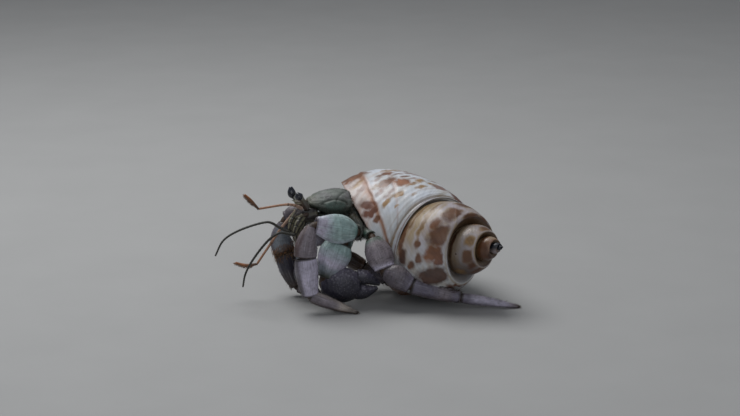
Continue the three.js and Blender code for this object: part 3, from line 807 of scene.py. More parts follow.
def makeShellTube():
    section = sectionPoints(shell["spire"])
    swollen = sectionPoints(shell["last"])
    sides = len(section)
    stops = [shell["start"] - 0.01]
    while stops[-1] < shell["turns"]:
        stops.append(stops[-1] + shell["firstStep"] * math.exp(shell["stepGrowth"] * max(stops[-1], 0)))
    clearSelection()
    bpy.ops.mesh.primitive_circle_add(vertices=sides, radius=mm, location=(0, 0, 0))
    tube = bpy.context.object
    tube.name = tube.data.name = "shell_skin"
    for vertex, (r, h) in zip(tube.data.vertices, section):
        vertex.co = shellPoint(stops[0], r, h)
    bpy.ops.object.mode_set(mode="EDIT")
    bpy.ops.mesh.select_all(action="SELECT")
    for before, turns in zip(stops, stops[1:]):
        bpy.ops.mesh.extrude_edges_move()
        shellStep(before, turns)
    bpy.ops.object.mode_set(mode="OBJECT")

    # the last whorl swells out, and every corner gets its turn and its place across the whorl
    mesh = tube.data
    axis, top, near = shellAxes()
    places = []
    for vertex in mesh.vertices:
        turns = stops[vertex.index // sides]
        radius, reach = sutureAt(turns)
        turned = shell["lipAngle"] - 2 * math.pi * turns
        out = top * math.cos(turned) + near * math.sin(turned)
        local = (vertex.co - at(shell["apex"])) / mm
        r, h = local.dot(out) / radius - 1, (local.dot(axis) - reach) / radius
        k = min(range(sides), key=lambda i: (section[i][0] - r) ** 2 + (section[i][1] - h) ** 2)
        swell = step(0.05, 0.6, 1 - turns)
        place = [a + (b - a) * swell for a, b in zip(section[k], swollen[k])]
        vertex.co = shellPoint(turns, *place)
        places.append((turns / shell["mapTurns"], k / sides))
    writeMap(mesh, places)
    closeEnd(tube, range(len(mesh.vertices) - sides, len(mesh.vertices)))
    activate(tube)
    faceOutwards()
    subdivide(tube, 2)
    return tube


def selectBoundary(piece):             # the open edge loop of a piece, in edit mode
    bpy.ops.mesh.select_all(action="DESELECT")
    bpy.ops.mesh.select_mode(type="EDGE")
    mesh = bmesh.from_edit_mesh(piece.data)
    for edge in mesh.edges:
        edge.select = len(edge.link_faces) == 1
    bmesh.update_edit_mesh(piece.data)


def openMouth(tube):                   # cuts the rim, then draws it inwards as the lining
    activate(tube)
    bpy.ops.object.mode_set(mode="EDIT")
    bpy.ops.mesh.select_all(action="SELECT")
    bpy.ops.mesh.bisect(plane_co=at(shell["mouthPoint"]), plane_no=shell["mouthNormal"], clear_outer=True)
    selectBoundary(tube)
    edge = bmesh.from_edit_mesh(tube.data)
    rim = [v.co.copy() for v in edge.verts if v.select]
    centre = sum(rim, Vector()) / len(rim)
    face = 1 - shell["rimThickness"]
    for share in (face, shell["lining"] / face):
        bpy.ops.mesh.extrude_edges_move()
        bpy.ops.transform.resize(value=(share,) * 3, center_override=centre)
    turns = 0.0
    while turns < shell["liningTurns"]:
        bpy.ops.mesh.extrude_edges_move()
        shellStep(turns, turns + shell["liningStep"])
        turns += shell["liningStep"]
    bpy.ops.mesh.merge(type="CENTER")
    bpy.ops.object.mode_set(mode="OBJECT")


def flattenFoot(piece):                # the flat that stands on the ground
    activate(piece)
    bpy.ops.object.mode_set(mode="EDIT")
    bpy.ops.mesh.select_all(action="SELECT")
    bpy.ops.mesh.bisect(plane_co=(0, 0, 0), plane_no=(0, 0, -1), clear_outer=True, use_fill=True)
    bpy.ops.object.mode_set(mode="OBJECT")


# The blotches have a place, half length, half width, strength and kind. The sizes are in turns along
# the whorl and shares across it. The first list's places are where the camera sees the blotch, in a
# part of its view that is enlarged: (right, down). The second list's are on the shell: (turns, across).
blotchView = {"width": 740, "height": 416, "left": 335, "top": 160, "zoom": 8.96}
seenBlotches = [
    (152, 154, 0.030, 0.060, 1.0, "brown"), (235, 275, 0.018, 0.010, 0.75, "mauve"),
    (190, 330, 0.014, 0.010, 0.75, "mauve"), (290, 400, 0.012, 0.033, 1.0, "rust"),
    (280, 490, 0.010, 0.014, 0.9, "rust"), (385, 525, 0.012, 0.012, 1.0, "brown"),
    (435, 590, 0.009, 0.010, 0.5, "tan"), (456, 380, 0.020, 0.010, 0.95, "tan"),
    (365, 245, 0.017, 0.010, 0.7, "tan"), (455, 200, 0.032, 0.018, 1.0, "brown"),
    (440, 127, 0.025, 0.012, 0.9, "brown"), (430, 272, 0.021, 0.012, 0.75, "mauve"),
    (480, 305, 0.021, 0.012, 0.75, "mauve"), (501, 332, 0.016, 0.008, 0.65, "tan"),
    (600, 195, 0.022, 0.029, 1.0, "orange"), (545, 412, 0.008, 0.009, 0.8, "tan"),
    (765, 183, 0.016, 0.016, 0.9, "tan"), (775, 240, 0.021, 0.012, 0.8, "tan"),
    (859, 212, 0.011, 0.012, 0.9, "tan"), (939, 247, 0.026, 0.027, 0.95, "mauve"),
    (690, 215, 0.023, 0.009, 0.75, "tan"), (700, 305, 0.016, 0.008, 0.6, "tan"),
    (621, 148, 0.017, 0.009, 0.8, "brown"), (1210, 730, 0.040, 0.060, 1.0, "tan"),
    (1190, 640, 0.040, 0.030, 0.6, "mauve"), (1085, 845, 0.007, 0.014, 1.0, "dark"),
    (1339, 699, 0.080, 0.080, 0.8, "brown"),
]
shellBlotches = [
    # the last whorl
    (0.172, 0.385, 0.022, 0.012, 0.75, "tan"), (0.160, 0.400, 0.016, 0.009, 0.6, "mauve"),
    (0.128, 0.320, 0.012, 0.010, 0.6, "brown"), (0.108, 0.257, 0.018, 0.014, 1.0, "rust"),
    (0.183, 0.214, 0.015, 0.012, 1.0, "tan"), (0.262, 0.270, 0.025, 0.009, 0.75, "mauve"),
    (0.300, 0.324, 0.034, 0.010, 0.8, "mauve"), (0.285, 0.350, 0.030, 0.009, 0.75, "brown"),
    (0.262, 0.372, 0.034, 0.010, 0.75, "tan"), (0.310, 0.300, 0.028, 0.010, 0.7, "mauve"),
    (0.318, 0.250, 0.023, 0.010, 0.75, "mauve"), (0.355, 0.120, 0.023, 0.065, 1.0, "rust"),
    (0.206, 0.340, 0.018, 0.009, 0.7, "mauve"), (0.250, 0.325, 0.021, 0.009, 0.7, "brown"),
    # the whorl before it
    (1.178, 0.185, 0.047, 0.052, 1.0, "brown"), (1.070, 0.176, 0.048, 0.066, 1.0, "brown"),
    (1.112, 0.232, 0.022, 0.030, 1.0, "orange"), (0.998, 0.190, 0.034, 0.056, 1.0, "orange"),
    (0.975, 0.155, 0.030, 0.040, 1.0, "rust"), (0.908, 0.200, 0.040, 0.110, 1.0, "dark"),
    (1.030, 0.300, 0.016, 0.022, 1.0, "brown"), (0.980, 0.280, 0.018, 0.024, 1.0, "brown"),
    (1.105, 0.311, 0.060, 0.016, 0.85, "tan"), (1.130, 0.400, 0.070, 0.014, 0.85, "tan"),
    (1.050, 0.430, 0.060, 0.026, 0.9, "brown"), (0.985, 0.400, 0.030, 0.034, 0.95, "dark"),
    (1.180, 0.324, 0.050, 0.012, 0.8, "tan"), (0.960, 0.331, 0.016, 0.026, 0.9, "brown"),
    (1.251, 0.060, 0.060, 0.060, 0.9, "brown"), (1.340, 0.054, 0.036, 0.070, 0.85, "brown"),
    (1.290, 0.240, 0.050, 0.040, 0.95, "brown"), (1.420, 0.200, 0.050, 0.060, 1.0, "brown"),
    # the upper whorls
    (1.955, 0.195, 0.050, 0.060, 1.0, "brown"), (2.240, 0.155, 0.070, 0.050, 0.7, "tan"),
    (2.040, 0.420, 0.160, 0.030, 0.8, "dark"), (2.991, 0.290, 0.130, 0.150, 1.0, "brown"),
    (2.839, 0.060, 0.110, 0.140, 1.0, "dark"),
]
blotchTones = {
    "brown": tone(116, 74, 45), "orange": tone(145, 91, 52), "rust": tone(108, 62, 41),
    "mauve": tone(140, 109, 99), "tan": tone(156, 122, 76), "dark": tone(80, 46, 27),
}


def seenPlace(tube, places, right, down):      # (turns, across) of the point that the camera sees
    pixel = stage["sensor"] / stage["lens"] / blotchView["width"]
    x = blotchView["left"] + right / blotchView["zoom"] - blotchView["width"] / 2
    y = blotchView["top"] + down / blotchView["zoom"] - blotchView["height"] / 2
    camera = bpy.context.scene.camera
    aim = camera.rotation_euler.to_matrix() @ Vector((x * pixel, -y * pixel, -1))
    _, hit, _, face = tube.ray_cast(camera.location, aim)
    vertices = tube.data.vertices
    nearest = min(tube.data.polygons[face].vertices, key=lambda k: (vertices[k].co - hit).length)
    u, v = places[nearest]
    return u * shell["mapTurns"], v


def blotchMarks(tube, places):         # the placed ones, and rows of others where none is placed
    random.seed(11)
    marks = [(*seenPlace(tube, places, right, down), *rest) for right, down, *rest in seenBlotches]
    marks += shellBlotches
    placed = [(0.05, 0.38), (0.86, 1.45), (1.90, 2.25), (2.75, 3.25)]
    turns = 0.0
    while turns < shell["patternTurns"]:
        late = step(1.15, 0.85, turns)     # 1 on the last whorl
        pitch = 0.115 - 0.070 * late
        rows = 9 if late > 0.5 else 3
        for row in range(rows):
            across = 0.06 + (row + 0.5) * 0.64 / rows + random.uniform(-0.015, 0.015)
            where = turns + pitch * (0.5 * (row % 2) + random.uniform(-0.4, 0.4))
            hidden = not any(low < where < high for low, high in placed) or (late > 0.5 and across > 0.41)
            long, broad = random.uniform(0.22, 0.62), random.uniform(0.5, 1.25)
            kind = random.choice(("brown", "orange", "mauve", "tan", "brown", "rust"))
            if random.random() < 0.86 and hidden:
                strength = random.uniform(0.65, 1.0)
                marks.append((where, across, pitch * long, 0.26 / rows * broad, strength, kind))
        turns += pitch
    return marks


def lipTurn(v):                        # the turn at which the rim crosses this place across the whorl
    section = sectionPoints(shell["last"])
    k = v * len(section)
    i = int(k)
    a, b = section[i % len(section)], section[(i + 1) % len(section)]
    r, h = a[0] + (b[0] - a[0]) * (k - i), a[1] + (b[1] - a[1]) * (k - i)
    normal, point = Vector(shell["mouthNormal"]), at(shell["mouthPoint"])
    turns = 0.45
    while turns > shell["start"] and (shellPoint(turns, r, h) - point).dot(normal) < 0:
        turns -= 0.004
    return turns


def sculptShell(tube):
    mesh = tube.data
    places = surfacePlaces(tube)
    normals = [v.normal.copy() for v in mesh.vertices]
    for name in ("tint", "patch"):
        mesh.color_attributes.new(name, "FLOAT_COLOR", "POINT")
    mesh.attributes.new("blotch", "FLOAT", "POINT")
    tint, patch, blotch = (mesh.attributes[name] for name in ("tint", "patch", "blotch"))
    # cream, the ground of the upper whorls, is the shell's own cream darkened as painted shade on the spire
    cream, white, net = tone(158, 142, 118), tone(212, 218, 226), tone(172, 165, 171)
    warm, wash, grey, umber = tone(150, 126, 88), tone(186, 158, 142), tone(122, 114, 110), tone(62, 44, 34)
    sutureShade, apexTone, lipTone = tone(74, 50, 36), tone(30, 32, 42), tone(160, 112, 84)
    rim = [lipTurn(k / 60) for k in range(61)]
    vertexRim = {}
    slots = {}
    roundness = 2.6                    # 2 makes ellipses, more makes fuller corners
    for mark in blotchMarks(tube, places):     # sorted by turn: a point only looks at its neighbours
        for key in range(int((mark[0] - 0.34) * 20), int((mark[0] + 0.34) * 20) + 1):
            slots.setdefault(key, []).append(mark)
    for vertex, normal, (u, v) in zip(mesh.vertices, normals, places):
        turns = u * shell["mapTurns"]
        p = vertex.co / mm
        grown = turns - profileAt(rim, v)  # growth lines run side by side with the rim
        late = step(1.1, 0.9, turns)
        field, halo, patchTone, weight = 0.0, 0.0, Vector((0, 0, 0)), 1e-6
        shiftT = (0.004 + 0.006 * (1 - late)) * wobble(p, 1.1, 4)
        shiftV = 0.010 * wobble(p, 1.3, 6)
        if v < 0.8:
            for where, across, long, broad, strength, kind in slots.get(int(turns * 20), ()):
                x, y = abs((turns + shiftT - where) / long), abs((v + shiftV - across) / broad)
                d = (x ** roundness + y ** roundness) ** (1 / roundness)
                if d < 2.2:
                    near = strength * step(1.7, 0.3, d)
                    field = max(field, near)
                    halo = max(halo, strength * bell(d, 1.45, 0.35))
                    patchTone += Vector(blotchTones[kind]) * near ** 2
                    weight += near ** 2
        blotch.data[vertex.index].value = field
        # painted shade: the blotches on the spire are darker than on the last whorl
        patch.data[vertex.index].color = (*(patchTone / weight * (0.66 + 0.34 * late)), 1)
        scale = math.exp(-0.5 * turns)
        cords = math.cos(2 * math.pi * v * 34) * 0.025 * late * step(0.04, 0.1, v) * step(0.8, 0.7, v)
        growth = noise.noise(Vector((grown * 42, v * 2.0, 3.0))) * 0.10 * scale
        varix = (0.20 * bell(grown, 0.060, 0.006) - 0.16 * bell(grown, 0.052, 0.004)
                 - 0.12 * bell(grown, 0.125, 0.004))
        vertex.co += normal * (cords + growth + varix * step(0.75, 0.6, v)) * mm
        streaks = step(0.05, 0.5, noise.noise(Vector((turns * 3.0, v * 30, 5.0))))
        fineStreaks = step(0.1, 0.6, noise.noise(Vector((turns * 9, v * 60, 8.0))))
        growthStreaks = step(0.1, 0.5, noise.noise(Vector((grown * 30, v * 1.5, 7.0))))
        rimShare = 0.55 * step(0.065, 0.045, grown) * step(0.20, 0.28, v)
        ridges = (0.95 * bell(grown, 0.052, 0.009) + 0.35 * bell(grown, 0.125, 0.005)
                  + 0.5 * bell(grown, 0.0, 0.006))
        colour = cream
        for layer, share in (
                (warm, 0.8 * streaks * step(0.16, 0.3, v)),
                (net, halo * step(0.5, 0.38, v)),
                (grey, 0.75 * bell(turns, 2.05, 0.35) * step(0.16, 0.26, v)),
                (blotchTones["brown"], 0.8 * step(2.55, 2.8, turns)),
                (mix(white, wash, rimShare + 0.35 * fineStreaks), late),
                (warm, 0.3 * growthStreaks),
                # painted shade in the suture channel
                (sutureShade, (0.95 - 0.3 * late) * (bell(v, 0.0, 0.035) + bell(v, 1.0, 0.05))),
                (warm, 0.55 * (1 - late) * step(0.28, 0.42, v)),
                # painted shade on the upper whorls next to their lower suture, under the next whorl
                (sutureShade, 0.55 * (1 - late) * step(0.46, 0.58, v)),
                (warm, 0.6 * late * bell(v, 0.075, 0.022)),
                # painted shade on the base of the last whorl
                (grey, 0.7 * late * step(0.50, 0.60, v)),
                (lipTone, ridges * step(0.7, 0.6, v)),
                (cream, 0.7 * bell(turns, 3.24, 0.08) * step(0.1, 0.2, v)),
                # painted shade on the down-facing side of the upper whorls
                (umber, 0.65 * (1 - late) * step(0.1, -0.75, normal.z)),
                (net, 0.6 * step(3.38, 3.5, turns) * step(0.1, 0.2, v)),
                (apexTone, step(3.85, 4.05, turns + 0.05 * wobble(p, 1.2)))):
            colour = mix(colour, layer, share)
        tint.data[vertex.index].color = (*colour, 1)
        vertexRim[vertex.index] = profileAt(rim, v)
    uvs = mesh.uv_layers[0].data
    for loop in mesh.loops:            # the map then follows the growth lines too
        uvs[loop.index].uv[0] -= vertexRim[loop.vertex_index] / shell["mapTurns"]
    mesh.update()


def makeShellMaterial():
    material, tree, shader = newMaterial("shellGlaze", Roughness=0.36, Coat_Weight=0.15, Coat_Roughness=0.2)
    coords = node(tree, "TexCoord")
    place, along = coords.outputs["Object"], coords.outputs["UV"]
    tint, patch = painted(tree, "tint"), painted(tree, "patch")
    field = painted(tree, "blotch", "Fac")
    ragged = noiseAt(tree, place, 640, 4.0, 0.65)
    shifted = node(tree, "Math", {0: ragged, 1: 0.8, 2: -0.40}, operation="MULTIPLY_ADD").outputs[0]
    edge = node(tree, "Math", {0: field, 1: shifted}, operation="ADD").outputs[0]
    amount = ramp(tree, edge, (0.28, 0.0), (0.78, 0.94))
    cloud = ramp(tree, noiseAt(tree, place, 330, 3.0), (0.3, (0.72, 0.68, 0.66)), (0.7, (1.25, 1.25, 1.25)))
    colour = mixColour(tree, amount, tint, mixColour(tree, 1.0, patch, cloud, "MULTIPLY"))
    lines = noiseAt(tree, along, 1.0, 4.0, 0.6, stretch=(420, 3, 1))
    colour = mixColour(tree, 0.35, colour, ramp(tree, lines, (0.35, 0.72), (0.65, 1.22)), "MULTIPLY")
    stained, clean = (0.86, 0.80, 0.70), (1.06, 1.06, 1.08)
    stain = ramp(tree, noiseAt(tree, place, 160, 5.0, 0.6), (0.35, stained), (0.65, clean))
    colour = mixColour(tree, 0.7, colour, stain, "MULTIPLY")
    tree.links.new(colour, shader.inputs["Base Color"])
    fine = noiseAt(tree, place, 2600, 3.0)
    addBump(tree, shader, (lines, 0.30, 0.12), (fine, 0.2, 0.04))
    return material


def makeShell():
    tube = makeShellTube()
    sculptShell(tube)
    openMouth(tube)
    flattenFoot(tube)
    finish(tube, makeShellMaterial(), "shell", "shell")
    return tube


makeShell()
print("shell made")


# trunk: shield, head and the soft body that runs into the shell
trunk = {
    "shield": ([(-15.4, 0.2, 25.7), (-11.0, 1.6, 25.5), (-5.6, 3.2, 25.2)],
               (2.4, 3.9, 4.6, 4.9, 4.2), (1.0, 2.2, 2.9, 3.3, 2.8)),
    "head": ([(-18.2, -0.7, 22.6), (-16.4, -0.2, 22.8), (-13.8, 0.6, 23.0)],
             (1.6, 2.6, 3.0, 3.2, 3.2), (1.2, 2.0, 2.3, 2.4, 2.4)),
    "thorax": ([(-14.2, 0.6, 20.6), (-8.0, 2.6, 19.6), (-2.5, 5.4, 19.0), (0.8, 8.0, 19.0)],
               (2.6, 4.4, 5.0, 4.4, 3.0), (2.2, 3.6, 4.0, 3.6, 2.6)),
    "abdomen": ([(0.4, 7.6, 19.0), (1.6, 10.0, 20.4), (3.4, 16.4, 21.6), (2.6, 20.0, 19.0)],
                (2.8, 3.2, 3.1, 2.6, 1.4), (2.4, 2.9, 2.9, 2.4, 1.3)),
    "patch": (0.58, 0.005, 0.30, 0.085),   # the dark plate on the shield's side: along, round, sizes
    "leg4": {"left": [(-3.2, -0.6, 16.6), (-2.9, -1.8, 19.6), (-4.6, -0.6, 22.6)],
             "right": [(-4.0, 8.6, 17.2), (-3.4, 10.4, 19.8), (-5.0, 10.2, 22.2)]},
    "leg4Sizes": ((1.2, 1.4, 1.4, 1.2, 0.8), (1.0, 1.2, 1.2, 1.0, 0.7)), "voxel": 0.24,
}


def shieldRule(u, v, p, n):
    along, middleRound, long, broad = trunk["patch"]
    d = min(math.hypot((u - along) / long, ((v - centre + 0.5) % 1 - 0.5) / broad)
            for centre in (middleRound, 1.5 - middleRound))       # one plate on each side
    d += 0.12 * wobble(p, 1.6, 8)
    plate, border = step(1.0, 0.6, d), bell(d, 1.05, 0.16) * step(0.5, 0.9, v + 0.25 * (v < 0.3))
    neck = bell(u, 0.60 + 0.35 * aroundBell(v, 0.75, 0.12), 0.022) * step(0.40, 0.5, v)
    middle = aroundBell(v, 0.75, 0.008) * step(0.5, 0.65, u)
    front = bell(u, 0.05, 0.03)
    lift = 0.22 * plate - 0.22 * border - 0.16 * neck - 0.12 * middle + 0.10 * front
    wrinkles = abs(noise.noise(Vector((p[0] * 0.35, p[1] * 1.1, p[2] * 1.1 + 20)))) ** 0.7
    lift += 0.08 * wobble(p, 1.3) + 0.05 * wobble(p, 0.5, 4) - 0.16 * (1 - wrinkles) ** 6 * (1 - plate)
    colour = mix(hues["shield"], hues["darkOlive"], 0.5 * (1 - wrinkles) ** 4)
    colour = mix(colour, hues["mauve"], 0.5 * step(-0.3, 0.6, wobble(p, 3.0)) * step(0.2, 0.9, n.z))
    colour = mix(colour, hues["paleOlive"], 0.3 * step(0.3, 0.0, u))
    colour = mix(colour, hues["shieldDark"], 0.85 * plate)
    colour = mix(colour, hues["darkOlive"], 0.9 * border + 0.6 * neck + 0.5 * middle)
    # painted shade on the underside, by the normal, and darker towards the back end
    colour = mix(colour, hues["darkOlive"], 0.8 * step(0.1, -0.6, n.z) + 0.5 * step(0.9, 1.0, u))
    pits = grains(p, 0.45, 2)
    return lift - 0.04 * step(0.5, 0.9, pits), mix(colour, hues["darkOlive"], 0.35 * step(0.45, 0.8, pits))


def headRule(u, v, p, n):
    ridges = math.sin(2 * math.pi * (v * 7 + 0.15 * wobble(p, 1.5)))
    lumps = wobble(p, 1.1) + 0.5 * wobble(p, 0.5, 3)
    colour = mix(hues["olive"], hues["darkBrown"], step(-0.9, 0.2, ridges + 0.5 * lumps))
    # painted shade: darker overall and most on top, where the shield and eyestalks shade the head
    colour = mix(colour, hues["black"], 0.25 + step(0.2, 0.8, n.z) * 0.45)
    colour = mix(colour, hues["dusk"], 0.35 * step(0.5, 0.1, u))
    return 0.10 * ridges + 0.12 * lumps, colour


def bodyRule(u, v, p, n):
    inside = step(-3.0, 2.5, p[0] - 0.76)
    folds = abs(math.sin(2.2 * p[0] + 1.3 * p[1] + 1.2 * wobble(p, 1.8))) ** 3
    lift = 0.14 * wobble(p, 1.2) - 0.12 * folds + 0.05 * wobble(p, 0.45, 6)
    high = step(17.5, 22.0, p[2]) * step(2.5, -2.0, p[0])
    colour = mix(hues["darkOlive"], hues["shield"], 0.45 * step(-0.2, 0.7, wobble(p, 1.6, 2)) + 0.55 * high)
    # darker in the folds, and painted shade on the underside by the normal
    colour = mix(colour, hues["darkBrown"], 0.75 * folds + 0.5 * step(0.0, -0.9, n.z))
    colour = mix(colour, hues["belly"], inside)
    return lift, colour


def makeTrunk():
    upward = (0, 0, 1)
    addSkin("shield", shieldRule, shieldMaterial, "shield", *trunk["shield"], nodes=("carapace_shield",),
            side=upward, count=13, sides=22, ends=roundEnds)
    addSkin("head", headRule, plateMaterial, "trunk", *trunk["head"],
            side=upward, count=11, sides=20, ends=roundEnds)
    parts = [limbPiece("part_" + part, *trunk[part], side=upward, ends=roundEnds)
             for part in ("thorax", "abdomen")]
    body = fuse("skin_body", parts, trunk["voxel"])
    unwrapAlong(body, trunk["thorax"][0])
    dress(body, "body", bodyRule, softMaterial, "trunk", "thorax", "abdomen")
    look = {"along": ["darkOlive", "shield", "darkOlive", "olive"], "folds": 9}
    for side, path in trunk["leg4"].items():
        addSkin("leg4_" + side, plateRule(look), plateMaterial, "trunk", path, *trunk["leg4Sizes"],
                ends=roundEnds)


makeTrunk()
print("trunk made")


# joint skins: the dark membrane that shows between two segments
def membraneRule(u, v, p, n):
    return 0.06 * wobble(p, 0.6), mix(hues["darkBrown"], hues["brown"], 0.5 + 0.5 * wobble(p, 1.0))


def makeJointSkins():
    pairs = []
    for segments in legs.values():
        pairs += zip(list(segments.values()), list(segments.values())[1:])
    for claw in claws.values():
        pairs += [(claw["merus"], claw["carpus"]), (claw["carpus"], claw["palm"])]
    made = []
    for a, b in pairs:                 # each is (path, half widths, half thicknesses, ...)
        end, start = Vector(a[0][-1]), Vector(b[0][0])
        path = [end.lerp(Vector(a[0][-2]), 0.22), (end + start) / 2, start.lerp(Vector(b[0][1]), 0.22)]
        radius = 0.80 * min(a[1][-1], a[2][-1], b[1][0] + 0.4, b[2][0] + 0.4)
        made.append(limbPiece("part_skin", path, (radius,) * 3, (radius,) * 3,
                              count=5, sides=10, ends=roundEnds, levels=1))
    dress(joined("joint_skins", made), "joints", membraneRule, softMaterial, "trunk")


makeJointSkins()
print("joint skins made")


# eyes
eyes = {
    "left": {"base": (-15.7, -2.4, 24.9), "tip": (-17.2, -3.8, 28.0), "cornea": (-17.7, -4.1, 28.9)},
    "right": {"base": (-18.0, 2.0, 24.9), "tip": (-19.2, 2.8, 26.9), "cornea": (-19.7, 3.1, 28.6)},
}


stalkSizes = ((0.95, 0.72, 0.66, 0.8, 0.85, 0.5), (0.9, 0.62, 0.58, 0.7, 0.7, 0.4))
eyeSizes = ((0.5, 0.95, 1.1, 1.0, 0.6), (0.45, 0.85, 0.95, 0.9, 0.55))
eyeShift = Vector((-0.30, -0.10, 0.0))         # the cornea sits on the front of its stalk


def stalkRule(side):
    def rule(u, v, p, n):
        streak = step(0.1, 0.7, -n.x)
        colour = mix(hues["stalk"], hues["darkBrown"], 0.85 * streak + 0.5 * bell(u, 0.0, 0.2))
        if side == "left":             # its near face is brown from the base up
            colour = mix(colour, hues["umber"], 0.9 * step(0.3, -0.3, n.x) + 0.8 * step(0.55, 0.35, u))
        return 0.03 * wobble(p, 0.5), mix(colour, hues["paleOlive"], 0.3 * bell(u, 0.35, 0.1))
    return rule


def corneaRule(u, v, p, n):
    return 0.0, hues["black"]


def makeEyes():
    for side, eye in eyes.items():
        base, tip, cornea = (Vector(eye[k]) for k in ("base", "tip", "cornea"))
        axis = (cornea - base).normalized()
        addSkin("eyestalk_" + side, stalkRule(side), plateMaterial, "stalk",
                [base, tip, tip + axis * 0.9], *stalkSizes, count=12, ends=roundEnds)
        path = [tip + eyeShift - axis * 0.75, tip + eyeShift + axis * 0.3, cornea + eyeShift * 0.6]
        addSkin("eye_" + side, corneaRule, corneaMaterial, "cornea", path, *eyeSizes,
                count=10, ends=roundEnds)


makeEyes()
print("eyes made")


# feelers and mouthparts
feelers = {
    "antennule_left": ([(-16.9, -2.9, 24.8), (-18.5, -3.8, 25.8), (-20.3, -4.5, 26.3), (-27.5, -6.0, 25.6)],
                       (0.5, 0.4, 0.34, 0.3)),
    "antennule_left_tip": ([(-27.6, -6.0, 25.6), (-29.5, -6.0, 27.7), (-30.9, -6.0, 29.2)],
                           (0.34, 0.5, 0.3)),
    "antennule_right": ([(-18.6, 2.0, 22.9), (-21.9, 1.5, 19.1), (-24.9, 1.0, 14.8), (-28.4, 0.0, 9.7)],
                        (0.5, 0.4, 0.34, 0.3)),
    "antennule_right_tip": ([(-28.5, 0.0, 9.6), (-31.2, 0.0, 9.2), (-33.8, 0.0, 9.9)], (0.34, 0.5, 0.3)),
    "antenna_left": ([(-18.65, -5.5, 19.2), (-18.8, -5.8, 18.9), (-20.6, -6.2, 19.3), (-22.2, -6.5, 19.6),
                      (-24.5, -7.0, 18.4), (-28.4, -7.3, 13.8), (-30.9, -7.7, 9.4), (-31.6, -8.0, 6.0)],
                     (0.46, 0.42, 0.38, 0.36, 0.34, 0.31, 0.28, 0.24)),
    "antenna_right": ([(-19.9, -0.7, 18.7), (-20.0, -0.9, 18.3), (-22.8, -1.1, 19.5), (-24.3, -1.2, 20.5),
                       (-25.7, -1.3, 20.9), (-32.8, -1.7, 18.8), (-36.7, -2.1, 16.3), (-38.7, -2.5, 12.5)],
                      (0.46, 0.42, 0.38, 0.36, 0.34, 0.31, 0.28, 0.24)),
}
peduncles = {
    "antenna_left_base": ([(-16.5, -2.9, 22.9), (-17.8, -4.3, 21.2), (-18.6, -5.3, 19.4)],
                          (1.0, 1.0, 0.75)),
    "antenna_right_base": ([(-18.4, 1.3, 22.4), (-19.5, 0.4, 20.6), (-19.9, -0.6, 18.9)],
                           (1.0, 1.0, 0.75)),
    "maxilliped_left": ([(-16.6, -1.9, 21.0), (-18.2, -2.4, 17.8), (-17.6, -2.5, 15.0)], (0.8, 0.8, 0.5)),
    "maxilliped_right": ([(-17.6, 0.9, 20.6), (-19.0, 0.8, 17.4), (-18.3, 0.7, 15.2)], (0.8, 0.8, 0.5)),
}


def whipRule(length):                  # a feeler of many short rings
    def rule(u, v, p, n):
        wave = math.cos(2 * math.pi * u * length / 0.42)
        colour = mix(hues["feeler"], hues["darkBrown"], 0.5 - 0.5 * wave)
        return 0.035 * wave, mix(colour, hues["olive"], 0.35 * step(0.15, 0.0, u))
    return rule


def clubRule(length):                  # the ringed tip of an antennule
    def rule(u, v, p, n):
        wave = math.cos(2 * math.pi * u * length / 0.30)
        colour = mix(hues["brown"], hues["orange"], step(0.0, 0.9, u))
        return 0.03 * wave, mix(colour, hues["brown"], 0.35 * (0.5 - 0.5 * wave))
    return rule


def stemRule(u, v, p, n):              # an antennule's stem, with two joints
    joint = bell(u, 0.36, 0.02) + bell(u, 0.66, 0.02)
    colour = mix(hues["sand"], hues["orange"], 0.35 + 0.5 * u)
    return 0.08 * joint, mix(colour, hues["brown"], 0.7 * joint)


def peduncleRule(u, v, p, n):
    stripe = math.sin(2 * math.pi * (v * 5 + 0.1 * wobble(p, 1.0)))
    joint = bell(u, 0.34, 0.035) + bell(u, 0.68, 0.035)
    dark = step(-0.65, 0.25, stripe + 0.3 * wobble(p, 0.8, 3))
    colour = mix(hues["paleOlive"], hues["darkBrown"], dark)
    lift = 0.05 * stripe - 0.14 * joint + 0.04 * wobble(p, 0.5)
    return lift, mix(colour, hues["darkOlive"], 0.8 * joint)


def makeFeelers():
    for name, (path, radii) in feelers.items():
        length = sum((Vector(b) - Vector(a)).length for a, b in zip(path, path[1:]))
        how = {"count": max(14, int(length * 2.2)), "sides": 8, "ends": tipEnds}
        if name.startswith("antenna_"):
            addSkin(name, whipRule(length), feelerMaterial, "feeler", path, radii, radii,
                    nodes=(name + "_inner", name + "_outer"), **how)
        else:
            rule = clubRule(length) if name.endswith("tip") else stemRule
            addSkin(name, rule, feelerMaterial, "antennule", path, radii, radii, **how)
    for name, (path, radii) in peduncles.items():
        slot = "feeler" if name.startswith("antenna") else "trunk"
        addSkin(name, peduncleRule, plateMaterial, slot, path, radii, radii,
                count=14, sides=14, ends=roundEnds)


makeFeelers()
print("feelers made")


# spines of the brow
spines = [                             # (root, point, radius)
    ((-16.6, -1.0, 25.3), (-18.5, -1.9, 25.9), 0.62), ((-17.6, 1.2, 25.2), (-19.3, 1.5, 25.7), 0.6),
    ((-15.6, -3.3, 23.4), (-18.2, -4.9, 23.2), 0.6), ((-17.0, 3.0, 23.2), (-19.6, 3.6, 22.7), 0.6),
    ((-14.9, 0.2, 26.0), (-17.0, -0.3, 26.2), 0.5),
]


def spineRule(u, v, p, n):
    return 0.03 * wobble(p, 0.5), mix(hues["umber"], hues["paleOlive"], step(0.2, 0.9, u))


def makeSpines():
    made = []
    for root, point, radius in spines:
        path = [root, Vector(root).lerp(Vector(point), 0.5), point]
        sizes = ((radius, radius * 0.75, 0.12), (radius, radius * 0.6, 0.1))
        made.append(limbPiece("part_spine", path, *sizes, side=(0, 0, 1), count=6, sides=10,
                              ends=roundEnds, levels=1))
    dress(joined("brow_spines", made), "spines", spineRule, plateMaterial, "trunk")


makeSpines()


